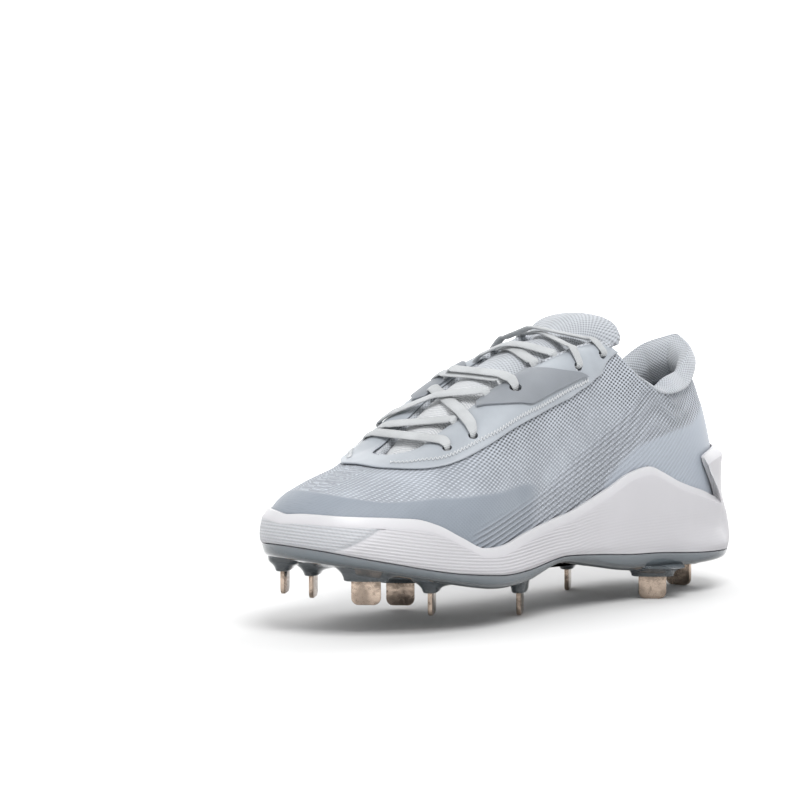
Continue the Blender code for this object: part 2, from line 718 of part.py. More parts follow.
def make_lining(finish):
    """Padding inside the collar that rolls over its edge."""
    end = round_at(LINING_END, 1)
    w = np.array([-end] + [k / STEPS for k in range(-STEPS, STEPS + 1) if abs(k / STEPS) < end - 0.008] + [end])
    taper = 0.30 + 0.70 * np.clip((end - np.abs(w)) / 0.16, 0, 1)
    back = WALL + 2 * GAP
    outer = [skin(w, level, -back) for level in LINING["level"]]
    inner = [skin(w, level, -back - COLLAR_PAD * thick * taper) for level, thick in zip(*LINING.values())]
    edge = surface(w, 1.0)
    up = surface(w, 0.995) - surface(w, 0.93)
    up = up / np.linalg.norm(up, axis=1)[:, None]
    out = skin(w, 0.98, 1.0) - skin(w, 0.98, 0.0)
    rise = (COLLAR_PROUD * (0.5 + 0.5 * taper))[:, None]
    for inward, upward in zip(ROLL["outer_in"], ROLL["outer_up"]):
        outer.append(edge - out * (back + COLLAR_PAD * inward * taper)[:, None] + up * rise * upward)
    for inward, upward in zip(ROLL["inner_in"], ROLL["inner_up"]):
        inner.append(edge - out * (back + COLLAR_PAD * inward * taper)[:, None] + up * rise * upward)
    return shell("collar_lining", np.array(outer), np.array(inner), finish, closed=False, smooth_angle=80)


def make_patch(finish):
    w = np.linspace(-PATCH_REACH, PATCH_REACH, 7)
    inner = overlay_grid(w, *PATCH_EDGES, 4, GAP)
    outer = overlay_grid(w, *PATCH_EDGES, 4, GAP + PATCH_THICKNESS)
    return shell("heel_patch", outer, inner, finish, closed=False)


def cover_height(covers, x, y):
    """Highest surface under a lace and how much its clearance grows with the slope there."""
    best = (0.0, 1.0)
    for tree in covers:
        spot, normal, index, distance = tree.ray_cast(Vector((x, y, 1.0)), Vector((0, 0, -1)))
        if spot is not None and spot.z > best[0]:
            best = (spot.z, 1 / max(abs(normal.z), 0.5))
    return best


def taut(across, heights):
    """A string pulled over heights: their upper hull, at the same places."""
    hull = []
    for point in zip(across, heights):
        while len(hull) > 1:
            (x0, z0), (x1, z1) = hull[-2], hull[-1]
            if (z1 - z0) * (point[0] - x0) > (point[1] - z0) * (x1 - x0):
                break
            hull.pop()
        hull.append(point)
    return np.interp(across, [p[0] for p in hull], [p[1] for p in hull])


def add_band(bm, outer_end, inner_end, covers):
    """One flat lace pulled straight across the throat over everything under it."""
    ends = [surface(round_at(end[0], side), end[1]) for end, side in ((outer_end, 1), (inner_end, -1))]
    middle = (outer_end[0] + inner_end[0]) / 2
    ahead = opening_line(round_at(middle - 0.03, 1)) - opening_line(round_at(middle + 0.03, 1))
    slope = ahead[2] / ahead[1]
    share = np.linspace(0, 1, 4 * LACE_STEPS + 1)
    line = ends[0] + (ends[1] - ends[0]) * share[:, None]
    for point in line:
        needs = []
        for side in (-0.5, 0.0, 0.5):
            shift = side * LACE_WIDTH / math.hypot(1, slope)
            height, growth = cover_height(covers, point[0], point[1] + shift)
            needs.append(height - slope * shift + (LACE_THICKNESS / 2 + LACE_RISE) * growth)
        point[2] = max(needs)
    line[:, 2] = taut(share, line[:, 2])
    line = line[::4]
    along = np.gradient(line, axis=0)
    along = along / np.linalg.norm(along, axis=1)[:, None]
    wide = np.array([0.0, 1.0, slope]) - along * (along @ np.array([0.0, 1.0, slope]))[:, None]
    wide = wide / np.linalg.norm(wide, axis=1)[:, None]
    thick = np.cross(along, wide)
    rings = []
    for centre, across, up in zip(line, wide, thick):
        ring = []
        for u, v in ((0.5, 0.0), (0.36, 0.5), (-0.36, 0.5), (-0.5, 0.0), (-0.36, -0.5), (0.36, -0.5)):
            ring.append(centre + across * (u * LACE_WIDTH) + up * (v * LACE_THICKNESS))
        rings.append(ring)
    add_rings(bm, rings)


def make_lace(row, covers, finish):
    name, outer_low, inner_low, outer_high, inner_high = row
    first = bmesh.new()
    add_band(first, outer_low, inner_low, covers)
    second = bmesh.new()
    add_band(second, outer_high, inner_high, covers)
    lace = to_object(name, first, finish, 60)
    boolean(lace, to_object(name + "_band", second, finish), "UNION")
    return lace


def main():
    for old in list(bpy.data.objects):
        bpy.data.objects.remove(old)
    knit = material("knit", (0.45, 0.48, 0.52), 0.85)
    foam = material("foam", (0.86, 0.86, 0.88), 0.55)
    resin = material("resin", (0.62, 0.68, 0.72), 0.25, alpha=1.0)
    steel = material("steel", (0.72, 0.68, 0.62), 0.25, metallic=1.0)
    padded = material("padded_knit", (0.50, 0.52, 0.55), 0.9)
    footbed = material("footbed", (0.40, 0.42, 0.45), 0.9)
    film = material("film", (0.50, 0.54, 0.58), 0.5)
    lining = material("lining_knit", (0.52, 0.54, 0.57), 0.9)
    cord = material("lace_weave", (0.58, 0.59, 0.58), 0.85)
    dark = material("dark_rubber", (0.12, 0.13, 0.15), 0.6)
    upper = make_upper(knit)
    eyestay = make_eyestay(film)
    straps = [make_strap("strap_outer", 1, film), make_strap("strap_inner", -1, film)]
    holes = make_holes(film)
    for pierced in [upper, eyestay] + straps:
        boolean(pierced, holes, "DIFFERENCE")
    make_lining(lining)
    make_patch(dark)
    tongue = make_tongue(padded)
    covers = [BVHTree.FromPolygons([v.co for v in o.data.vertices], [p.vertices for p in o.data.polygons])
              for o in [upper, eyestay, tongue] + straps]
    for row in LACES:
        make_lace(row, covers, cord)
    make_insole(footbed)
    make_midsole(foam)
    make_plate(resin)
    for name, back, across, turn in SPIKES:
        centre, along_blade, over = spike_frame(back, across, turn)
        make_spike(name, centre, along_blade, over, steel)


main()
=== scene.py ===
"""Left baseball cleat with metal spikes: knit upper, foam midsole and clear spike plate.

Metres, +Z up. The toe points to -Y and the outer side of the foot is +X.
"""

import math

import bmesh
import bpy
import numpy as np
from bpy.props import FloatProperty, FloatVectorProperty, PointerProperty
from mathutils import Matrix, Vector
from mathutils.bvhtree import BVHTree


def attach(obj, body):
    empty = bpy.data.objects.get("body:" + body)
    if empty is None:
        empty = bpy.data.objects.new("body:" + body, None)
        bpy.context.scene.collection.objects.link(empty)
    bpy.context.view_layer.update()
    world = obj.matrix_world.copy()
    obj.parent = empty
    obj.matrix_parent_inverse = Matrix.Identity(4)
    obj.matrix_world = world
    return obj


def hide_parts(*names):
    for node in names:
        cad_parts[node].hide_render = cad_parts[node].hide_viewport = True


bl_info = {
    "name": "Baseball Cleat",
    "version": (1, 0, 0),
    "blender": (4, 5, 0),
    "location": "View3D > Sidebar > Cleat",
    "description": "Builds a low-cut baseball cleat with knit upper, foam midsole and metal spikes",
    "category": "Add Mesh",
}

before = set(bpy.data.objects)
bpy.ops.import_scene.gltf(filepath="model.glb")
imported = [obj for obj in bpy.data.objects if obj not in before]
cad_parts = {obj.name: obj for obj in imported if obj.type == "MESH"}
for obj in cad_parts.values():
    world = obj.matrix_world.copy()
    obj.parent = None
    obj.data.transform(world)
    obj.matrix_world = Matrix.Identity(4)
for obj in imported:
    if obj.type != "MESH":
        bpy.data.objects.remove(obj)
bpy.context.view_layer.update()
BODY = "root"

# Overall sizes
LENGTH = 0.2909  # sole, back of the heel flare to the toe
BALL_WIDTH = 0.0940  # last, across the ball
HEEL_OVERHANG = 0.01033  # sole behind the upper
TOE_OVERHANG = 0.00457  # sole ahead of the upper
LAST_LENGTH = LENGTH - HEEL_OVERHANG - TOE_OVERHANG  # outside of the upper, heel to toe
LAST_ASIDE = -0.0009  # last's axis beside the middle of the sole
COLLAR_HEIGHT = 0.0890  # back of the collar above the foot bed
TOE_SPRING = 0.0220
ARCH_RISE = 0.0100

# Spikes and sole
SPIKE_HEIGHT = 0.0115
SPIKE_WIDTH = 0.0142
SPIKE_THICKNESS = 0.0022
SPIKE_SEAT = 0.0025
SPIKE_CORNER = 0.0035
POD_HEIGHT = 0.0045
POD_BOTTOM_LENGTH = 0.0215
POD_BOTTOM_WIDTH = 0.0075
POD_TOP_LENGTH = 0.0280
POD_TOP_WIDTH = 0.0180
PLATE_THICKNESS = 0.0025
PLATE_LIP = 0.0085
LIP_THICKNESS = 0.0018
SEAM_STEP = 0.0008
PLATE_TUCK = 0.0045
HEEL_FOAM = 0.0190
FLARE = 0.0120
RIM_LIP = 0.0016
RIM_HEIGHT = 0.0290
CHAMFER = 0.0040

# Upper
WALL = 0.0022
COLLAR_FLARE = 0.0022
COLLAR_PAD = 0.0055
COLLAR_PROUD = 0.0036
TONGUE_THICKNESS = 0.0045
STAY_THICKNESS = 0.0010
STRAP_THICKNESS = 0.0011
INSOLE_THICKNESS = 0.0032
PATCH_THICKNESS = 0.0016
EYELET = 0.0042
LACE_WIDTH = 0.0062
LACE_THICKNESS = 0.0018
LACE_RISE = 0.0007
GAP = 0.0003

# The last in plan, as shares of the last's length and the ball width
LAST = dict(
    along=(0.00, 0.12, 0.23, 0.36, 0.49, 0.60, 0.72, 0.83, 0.92, 1.00),
    outer=(0.36, 0.36, 0.36, 0.37, 0.41, 0.46, 0.51, 0.50, 0.48, 0.46),
    inner=(0.34, 0.34, 0.34, 0.33, 0.34, 0.41, 0.49, 0.48, 0.44, 0.42),
    shift=(0.02, 0.02, 0.01, 0.00, 0.00, 0.00, 0.00, -0.015, -0.04, -0.06),
)
HEEL_CAP = 0.125
TOE_CAP = 0.235
HEEL_ROUND = 2.1
TOE_ROUND = 2.25

# The opening, and the shape of the wall between it and the foot bed
OPENING = dict(
    along=(0.00, 0.036, 0.123, 0.232, 0.359, 0.486, 0.594, 0.71, 0.819, 0.92, 0.982, 1.00),
    back=(0.040, 0.060, 0.120, 0.185, 0.257, 0.337, 0.467, 0.594, 0.688, 0.746, 0.775, 0.781),
    half=(0.00, 0.15, 0.255, 0.32, 0.35, 0.27, 0.215, 0.185, 0.160, 0.120, 0.055, 0.00),
    height=(0.945, 0.885, 0.76, 0.745, 0.845, 1.045, 0.95, 0.795, 0.635, 0.535, 0.515, 0.510),
    full=(1.15, 1.15, 1.25, 1.45, 1.80, 2.20, 2.25, 2.05, 1.95, 2.30, 2.90, 3.00),
    slope=(0.00, 0.00, 0.00, 0.00, 0.00, 0.00, 0.00, 0.05, 0.18, 0.32, 0.36, 0.36),
    bulge=(1.80, 1.60, 1.20, 0.90, 0.60, 0.50, 0.60, 0.60, 0.45, 0.80, 1.50, 1.60),
)

# The sole under the foot, as shares of its rises and thicknesses
SOLE = dict(
    along=(0.00, 0.12, 0.27, 0.40, 0.49, 0.60, 0.70, 0.81, 0.92, 1.00),
    spring=(0.0, 0.0, 0.0, 0.0, 0.0, 0.05, 0.19, 0.45, 0.75, 0.96),
    arch=(0.0, 0.0, 0.05, 0.60, 1.0, 0.25, 0.0, 0.0, 0.0, 0.0),
    foam=(1.00, 1.00, 0.97, 0.60, 0.26, 0.50, 0.44, 0.33, 0.27, 0.25),
    lip=(0.50, 0.72, 1.00, 0.70, 0.42, 0.80, 0.78, 0.62, 0.68, 0.85),
)

# The foam's outer side, as shares of the flare
SIDE = dict(
    along=(0.00, 0.04, 0.12, 0.25, 0.40, 0.50, 0.62, 0.74, 0.85, 0.95, 1.00),
    widest=(0.86, 0.78, 0.60, 0.50, 0.44, 0.40, 0.44, 0.46, 0.42, 0.38, 0.38),
    middle=(0.46, 0.48, 0.48, 0.44, 0.38, 0.34, 0.38, 0.42, 0.38, 0.34, 0.32),
    shoulder=(0.52, 0.48, 0.38, 0.36, 0.32, 0.28, 0.30, 0.36, 0.34, 0.28, 0.26),
)

# The rim of the foam round the sole
RIM = dict(
    round=(0.00, 0.0769, 0.1154, 0.1539, 0.225, 0.276, 0.316, 0.345, 0.380, 0.412, 0.451, 0.513)
    + (0.565, 0.615, 0.645, 0.683, 0.723, 0.755, 0.787, 0.841, 0.893, 0.957, 1.000),
    height=(1.27, 1.26, 1.15, 0.40, 0.58, 0.755, 0.96, 1.08, 1.01, 0.83, 0.67, 0.535)
    + (0.445, 0.325, 0.305, 0.46, 0.625, 0.675, 0.65, 0.60, 0.565, 0.54, 0.50),
    lean=(0.000, 0.050, 0.092, 0.010) + (0.0,) * 19,
)

# Spikes: place from heel to toe, place across, turn in degrees
SPIKES = (
    ("spike_toe_inner", 0.918, -0.305, 128),
    ("spike_ball_inner", 0.824, -0.410, 128),
    ("spike_arch_inner", 0.640, -0.350, 42),
    ("spike_toe_outer", 0.884, 0.195, 42),
    ("spike_ball_outer", 0.750, 0.245, 128),
    ("spike_arch_outer", 0.537, 0.230, 128),
    ("spike_heel_inner", 0.263, -0.240, 128),
    ("spike_heel_outer", 0.240, 0.330, 42),
    ("spike_heel_back", 0.080, 0.070, 14),
)

# The eyestay and the strap: edges on the wall, by section of the last
STAY = dict(
    along=(0.439, 0.466, 0.513, 0.597, 0.672, 0.735, 0.797, 0.845, 0.912, 0.981, 1.000),
    reach=(0.298, 0.415, 0.480, 0.490, 0.468, 0.455, 0.415, 0.361, 0.241, 0.130, 0.100),
)
STAY_EDGE = 0.985
STRAP = dict(
    along=(0.470, 0.528, 0.597, 0.631, 0.680, 0.732),
    low=(0.640, 0.600, 0.590, 0.640, 0.740, 0.880),
    high=(0.640, 0.700, 0.860, 0.970, 0.970, 0.960),
)
EYELETS = ((0.807, 0.720), (0.745, 0.665), (0.642, 0.775), (0.501, 0.710), (0.458, 0.845))

# Laces: the outer end and the inner end of each band, as section and place up the wall
LACES = (
    ("lace_1", (0.807, 0.720), (0.807, 0.720), (0.789, 0.930), (0.800, 0.800)),
    ("lace_2", (0.745, 0.665), (0.705, 0.920), (0.705, 0.920), (0.745, 0.665)),
    ("lace_3", (0.672, 0.940), (0.642, 0.775), (0.642, 0.775), (0.670, 0.940)),
    ("lace_4", (0.605, 0.960), (0.565, 0.960), (0.565, 0.960), (0.605, 0.960)),
    ("lace_5", (0.501, 0.710), (0.458, 0.845), (0.458, 0.845), (0.501, 0.710)),
)

LINING = dict(level=(0.72, 0.80, 0.88, 0.96), thick=(0.25, 0.55, 0.85, 1.00))
ROLL = dict(
    outer_in=(-0.66, -0.74, -0.34),
    outer_up=(0.12, 0.62, 0.95),
    inner_in=(1.08, 1.00, 0.62),
    inner_up=(0.30, 0.75, 1.00),
)
LINING_END = 0.425
PATCH_REACH = 0.052
PATCH_EDGES = (0.58, 0.755)

CROWN = dict(
    along=(0.56, 0.62, 0.68, 0.75, 0.82, 0.90, 0.955, 0.988),
    crown=(0.105, 0.098, 0.090, 0.080, 0.068, 0.040, 0.008, -0.006),
)
TONGUE_TOP = dict(
    back=(0.375, 0.345, 0.315, 0.292),
    half=(0.200, 0.212, 0.250, 0.335),
    foot=(0.885, 0.930, 1.005, 1.060),
    height=(1.085, 1.135, 1.195, 1.210),
)
TONGUE_LEVELS = (0.86, 0.93, 1.00)
TONGUE_DEPTH = (0.0016, 0.0010, 0.0008)

# The stitched zigzag seam on the eyestay
ZIGZAG = dict(
    along=(0.466, 0.486, 0.574, 0.672, 0.752, 0.816, 0.884, 0.973, 1.000),
    level=(0.625, 0.589, 0.552, 0.575, 0.612, 0.659, 0.773, 0.900, 0.930),
)

# Upper edge of the fused film round the foot, by section of the last
FILM_EDGE = dict(
    along=(0.545, 0.570, 0.639, 0.700, 0.759, 0.825, 0.880, 0.927, 0.970, 1.000),
    level=(0.150, 0.218, 0.254, 0.295, 0.341, 0.408, 0.440, 0.462, 0.510, 0.560),
)
# Upper edge of the smooth heel counter
COUNTER_EDGE = dict(
    along=(0.00, 0.084, 0.183, 0.273, 0.334, 0.42),
    level=(0.65, 0.625, 0.589, 0.505, 0.36, 0.05),
)
# Raised ribs at the side: their upper limit in height over the ground and their rise along the foot
RIBS = dict(
    back=(-0.080, -0.064, -0.021, 0.010, 0.040, 0.062, 0.080, 0.110, 0.150),
    limit=(0.046, 0.053, 0.064, 0.079, 0.094, 0.107, 0.120, 0.140, 0.160),
    rise=(0.0000, 0.0050, 0.0185, 0.0300, 0.0430, 0.0545, 0.0680, 0.0950, 0.1330),
)

# Soft creases, listed: section, level, half-length and half-width in metres, turn in degrees, depth
CREASES = (
    (0.742, 0.440, 0.020, 0.0042, -24, -0.0007),
    (0.700, 0.385, 0.017, 0.0036, -34, -0.0006),
    (0.655, 0.330, 0.015, 0.0034, -40, -0.0005),
    (0.720, 0.405, 0.016, 0.0040, -29, 0.0005),
    (0.352, 0.900, 0.011, 0.0030, 38, -0.0009),
    (0.318, 0.860, 0.010, 0.0028, 52, -0.0007),
    (0.405, 0.845, 0.012, 0.0034, 22, -0.0007),
    (0.150, 0.700, 0.012, 0.0040, 66, -0.0006),
    (0.845, 0.300, 0.016, 0.0046, -12, -0.0004),
)

# The camera: degrees, metres from a point over the middle of the shoe, and millimetres of lens
CAMERA = dict(azimuth=45.0, elevation=6.7, distance=1.9, height=0.06, lens=171.0)

COLUMNS = 400  # places round the upper
ROWS = 84  # places up its wall


def smooth(table, column, at, key="along"):
    """A column of a table at any place, through its rows with no overshoot."""
    x = np.array(table[key])
    y = np.array(table[column])
    at = np.clip(np.asarray(at, float), x[0], x[-1])
    step = np.diff(x)
    rise = np.diff(y) / step
    turn = np.zeros_like(y)
    same = rise[:-1] * rise[1:] > 0
    mean = np.where(same, 2 * rise[:-1] * rise[1:] / np.where(same, rise[:-1] + rise[1:], 1), 0)
    turn[1:-1] = mean
    turn[0], turn[-1] = rise[0], rise[-1]
    i = np.clip(np.searchsorted(x, at, side="right") - 1, 0, len(step) - 1)
    t = (at - x[i]) / step[i]
    h = step[i]
    return (
        (2 * t**3 - 3 * t**2 + 1) * y[i]
        + (t**3 - 2 * t**2 + t) * h * turn[i]
        + (-2 * t**3 + 3 * t**2) * y[i + 1]
        + (t**3 - t**2) * h * turn[i + 1]
    )


def fade(value, low, high):
    """0 below low, 1 above high and a soft step between; high may be the lower one."""
    t = np.clip((np.asarray(value, float) - low) / (high - low), 0, 1)
    return t * t * (3 - 2 * t)


def run_length(points):
    """Length from the first point to each of the others, along them."""
    return np.concatenate([[0], np.cumsum(np.linalg.norm(np.diff(points, axis=0), axis=1))])


def sheet_places(u, v):
    """Every u with every v, as places on a sheet."""
    return np.stack(np.broadcast_arrays(u[None, :], v[:, None]), axis=-1)


def place(along):
    return LENGTH / 2 - HEEL_OVERHANG - along * LAST_LENGTH


def along_at(y):
    return (LENGTH / 2 - HEEL_OVERHANG - y) / LAST_LENGTH


def along_round(w):
    return (1 - np.cos(np.pi * np.asarray(w, float))) / 2


def round_at(along, side):
    w = np.arccos(1 - 2 * np.clip(along, 0, 1)) / np.pi
    return w if side > 0 else 2 - w


def ground(y):
    return TOE_SPRING * smooth(SOLE, "spring", along_at(y))


def underside(y):
    return SPIKE_HEIGHT + POD_HEIGHT + ground(y) + ARCH_RISE * smooth(SOLE, "arch", along_at(y))


def foot_bed(y):
    return underside(y) + PLATE_THICKNESS + GAP + HEEL_FOAM * smooth(SOLE, "foam", along_at(y))


def plate_lip(y):
    return np.maximum(PLATE_LIP * smooth(SOLE, "lip", along_at(y)), PLATE_THICKNESS + 4 * GAP)


def cap(along, reach, power):
    inside = np.clip(1 - along / reach, 0, 1)
    return (1 - inside**power) ** (1 / power)


def outline(w):
    """The last's outline in plan."""
    along = along_round(w)
    outer = np.asarray(w, float) % 2 <= 1
    half = np.where(outer, smooth(LAST, "outer", along), smooth(LAST, "inner", along))
    side = np.where(outer, 1.0, -1.0)
    ends = cap(along, HEEL_CAP, HEEL_ROUND) * cap(1 - along, TOE_CAP, TOE_ROUND)
    x = (side * half * ends + smooth(LAST, "shift", along)) * BALL_WIDTH + LAST_ASIDE
    return np.stack([x, place(along)], axis=-1)


def outward(w):
    tangent = outline(w + 0.012) - outline(w - 0.012)
    normal = np.stack([-tangent[..., 1], tangent[..., 0]], axis=-1)
    return normal / np.linalg.norm(normal, axis=-1)[..., None]


def opening_line(w):
    along = along_round(w)
    side = np.where(np.asarray(w, float) % 2 <= 1, 1.0, -1.0)
    back = smooth(OPENING, "back", along)
    x = (side * smooth(OPENING, "half", along) + smooth(LAST, "shift", back)) * BALL_WIDTH + LAST_ASIDE
    z = foot_bed(place(0.0)) + smooth(OPENING, "height", along) * COLLAR_HEIGHT
    return np.stack([x, place(back), z], axis=-1)


def surface(w, level):
    """Outside of the upper, at a place round it and a level from the foot bed (0) to the opening (1)."""
    w, level = np.broadcast_arrays(np.asarray(w, float), np.asarray(level, float))
    along = along_round(w)
    base = outline(w)
    end = opening_line(w)
    floor = foot_bed(base[..., 1]) + GAP
    full = smooth(OPENING, "full", along)
    slope = smooth(OPENING, "slope", along)
    turn = np.clip(level, 0, 1) * math.pi / 2
    across = 1 - np.clip(np.cos(turn), 0, 1) ** (2 / full)
    rise = (1 - slope) * np.sin(turn) ** (2 / full) + slope * across
    bulge = smooth(OPENING, "bulge", along) * np.sin(math.pi * np.clip(level * 1.25, 0, 1))
    flare = np.clip(1 - along / 0.30, 0, 1) * np.clip(level * 4 - 3, 0, 1) ** 2
    out = COLLAR_FLARE * (bulge + flare)
    plan = base + (end[..., :2] - base) * across[..., None] + outward(w) * out[..., None]
    z = floor + (end[..., 2] - floor) * rise
    return np.concatenate([plan, z[..., None]], axis=-1)


def skin(w, level, offset=0.0):
    """The outside of the upper moved outward by an offset."""
    w, level = np.broadcast_arrays(np.asarray(w, float), np.asarray(level, float))
    step = 0.012
    high = np.minimum(level + step, 0.995)
    low = np.maximum(np.minimum(level - step, high - 0.01), 0.004)
    middle = np.clip(level, 0.004, 0.995)
    around = surface(w + step, middle) - surface(w - step, middle)
    up = surface(w, high) - surface(w, low)
    normal = np.cross(up, around)
    normal = normal / np.linalg.norm(normal, axis=-1)[..., None]
    return surface(w, level) + normal * np.asarray(offset, float)[..., None]


def wall_ring(w, z, offset):
    """Points of the upper's wall at a height for each place round it, moved outward in plan."""
    fine = np.linspace(0, 0.8, 60)
    grid = surface(w[None, :], fine[:, None])
    points = np.zeros((len(w), 3))
    for i in range(len(w)):
        points[i, 0] = np.interp(z[i], grid[:, i, 2], grid[:, i, 0])
        points[i, 1] = np.interp(z[i], grid[:, i, 2], grid[:, i, 1])
        points[i, 2] = z[i]
    points[:, :2] += outward(w) * np.broadcast_to(offset, (len(w),))[:, None]
    return points


def side_at(w, column):
    return FLARE * smooth(SIDE, column, along_round(w))


def rim_at(w):
    """Height of the foam's rim and its shift round the sole."""
    at = np.where(w > 1, 2 - w, w)
    height = RIM_HEIGHT * smooth(RIM, "height", at, "round")
    lean = smooth(RIM, "lean", at, "round")
    return height, np.where(w > 1, -lean, lean)


def spline(points, count):
    """Points along a smooth curve through given points."""
    points = np.array(points, float)
    ends = np.concatenate([[2 * points[0] - points[1]], points, [2 * points[-1] - points[-2]]])
    spread = np.linspace(0, len(points) - 1, count)
    i = np.minimum(spread.astype(int), len(points) - 2)
    t = (spread - i).reshape((-1,) + (1,) * (points.ndim - 1))
    a, b, c, d = ends[i], ends[i + 1], ends[i + 2], ends[i + 3]
    return 0.5 * (2 * b + (c - a) * t + (2 * a - 5 * b + 4 * c - d) * t**2 + (3 * b - a - 3 * c + d) * t**3)


def arcs_across(levels, reach):
    """Length up each cross-section of the upper at points along the foot, for one side after the other."""
    tables = []
    for side in (0, 1):
        grid = surface(np.linspace(side, side + 1, 160)[None, :], levels[:, None])
        rows = []
        inside = []
        for line in grid:
            order = np.argsort(line[:, 1])
            rows.append([np.interp(reach, line[order, 1], line[order, k]) for k in (0, 2)])
            inside.append((reach >= line[:, 1].min()) & (reach <= line[:, 1].max()))
        step = np.linalg.norm(np.diff(np.array(rows), axis=0), axis=1)
        inside = np.array(inside)
        step = step * (inside[1:] & inside[:-1])
        tables.append(np.vstack([np.zeros(len(reach)), np.cumsum(step, axis=0)]))
    return tables


def cloth_places(w, level):
    """Where a knit lies on the upper, in metres along the foot and up its wall."""
    points = surface(w, level)
    levels = np.linspace(0, 1, 40)
    reach = np.linspace(-0.15, 0.15, 180)
    tables = arcs_across(levels, reach)
    row = np.clip(level, 0, 1) * 39 * np.ones_like(points[..., 0])
    column = (points[..., 1] + 0.15) / 0.30 * 179
    r = np.clip(row.astype(int), 0, 38)
    c = np.clip(column.astype(int), 0, 178)
    fr, fc = row - r, column - c
    up = np.zeros_like(row)
    for side, table in enumerate(tables):
        value = (
            table[r, c] * (1 - fr) * (1 - fc)
            + table[r + 1, c] * fr * (1 - fc)
            + table[r, c + 1] * (1 - fr) * fc
            + table[r + 1, c + 1] * fr * fc
        )
        up = np.where((w % 2 <= 1) == (side == 0), value, up)
    ring = outline(np.linspace(0, 1, 400))
    length = run_length(ring)
    near = np.where(w > 1, 2 - w, w) * np.ones_like(row)
    round_length = np.interp(near, np.linspace(0, 1, 400), length)
    fine = surface(w, np.linspace(0, 1, 60)[:, None])
    steps = np.linalg.norm(np.diff(fine, axis=0), axis=2)
    climb = np.concatenate([np.zeros((1,) + fine.shape[1:2]), np.cumsum(steps, axis=0)])
    columns = [np.interp(level[:, 0], np.linspace(0, 1, 60), line) for line in climb.T]
    straight = np.array(columns).T
    middle = np.interp(0.30, np.linspace(0, 1, 400), length)
    heel = fade(near, 0.34, 0.22)
    flat = -points[..., 1] + float(surface(0.30, 0.0)[1]) + middle
    return np.stack([flat * (1 - heel) + round_length * heel, up * (1 - heel) + straight * heel], axis=-1)


def crease_depth(w, level):
    """Soft troughs and ridges in the upper, in metres."""
    points = surface(w, level)
    depth = np.zeros(points.shape[:-1])
    for along, height, half, width, turn, deep in CREASES:
        for side in (1, -1):
            centre = surface(round_at(along, side), height)
            offset = points - centre
            angle = math.radians(turn)
            run = offset[..., 1] * math.cos(angle) + offset[..., 2] * math.sin(angle)
            rest = np.sqrt(np.maximum((offset**2).sum(axis=-1) - run**2, 0))
            depth += deep * np.exp(-((run / half) ** 2) - (rest / width) ** 2)
    return depth


# Mesh helpers


def in_order(bm, columns, rows):
    """Row and column of each vertex of a new flat grid."""
    xs = [v.co.x for v in bm.verts]
    ys = [v.co.y for v in bm.verts]
    left, low = min(xs), min(ys)
    wide, tall = max(xs) - left, max(ys) - low
    spots = {}
    for v in bm.verts:
        row = round((v.co.y - low) / tall * (rows - 1))
        spots[v] = (row, round((v.co.x - left) / wide * (columns - 1)))
    return spots


def laid_grid(points, uv=None, marks=None, joined=False):
    """A grid whose vertices lie at points; joined closes it where its edges meet."""
    rows, columns = points.shape[:2]
    bm = bmesh.new()
    bmesh.ops.create_grid(bm, x_segments=columns - 1, y_segments=rows - 1, size=1.0)
    for name in marks or {}:
        bm.verts.layers.float.new(name)
    layers = {name: bm.verts.layers.float[name] for name in marks or {}}
    sheet = bm.loops.layers.uv.new("UVMap")
    spots = in_order(bm, columns, rows)
    for vert, (r, c) in spots.items():
        vert.co = points[r, c]
        for name, layer in layers.items():
            vert[layer] = float(marks[name][r, c])
    if uv is not None:
        for face in bm.faces:
            for loop in face.loops:
                loop[sheet].uv = uv[spots[loop.vert]]
    if joined:
        bmesh.ops.remove_doubles(bm, verts=bm.verts, dist=2e-6)
    return bm


def facing_out(bm, inside):
    """Turns an open sheet's faces away from a point inside."""
    inside = Vector(inside)
    bm.normal_update()
    total = sum((f.calc_center_median() - inside).dot(f.normal) * f.calc_area() for f in bm.faces)
    if total < 0:
        bmesh.ops.reverse_faces(bm, faces=bm.faces)
    return bm


def closed_out(bm):
    bmesh.ops.recalc_face_normals(bm, faces=bm.faces)
    return bm


def new_piece(name, bm, finish, replaced=(), angle=50):
    mesh = bpy.data.meshes.new(name)
    bm.to_mesh(mesh)
    bm.free()
    made = bpy.data.objects.new(name, mesh)
    bpy.context.scene.collection.objects.link(made)
    mesh.materials.append(finish)
    mesh.shade_smooth()
    if angle < 180:
        mesh.set_sharp_from_angle(angle=math.radians(angle))
    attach(made, BODY)
    if replaced:
        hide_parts(*replaced)
    return made


def settle(piece, angle=50):
    """Puts a piece's modifiers into its mesh."""
    graph = bpy.context.evaluated_depsgraph_get()
    final = piece.evaluated_get(graph)
    mesh = bpy.data.meshes.new_from_object(final, preserve_all_data_layers=True, depsgraph=graph)
    old = piece.data
    piece.modifiers.clear()
    piece.data = mesh
    mesh.name = piece.name
    bpy.data.meshes.remove(old)
    mesh.shade_smooth()
    if angle < 180:
        mesh.set_sharp_from_angle(angle=math.radians(angle))
    return piece


def thicken(piece, thickness, offset, edge=""):
    change = piece.modifiers.new("thickness", "SOLIDIFY")
    change.thickness = thickness
    change.offset = offset
    change.use_even_offset = False
    change.use_quality_normals = True
    if edge:
        change.vertex_group = edge
        change.thickness_vertex_group = 0.25
    return change


def subtract(piece, cutter, operation="DIFFERENCE"):
    change = piece.modifiers.new("holes", "BOOLEAN")
    change.operation = operation
    change.solver = "EXACT"
    change.object = cutter
    settle(piece)


def remove(piece):
    mesh = piece.data
    bpy.data.objects.remove(piece)
    bpy.data.meshes.remove(mesh)


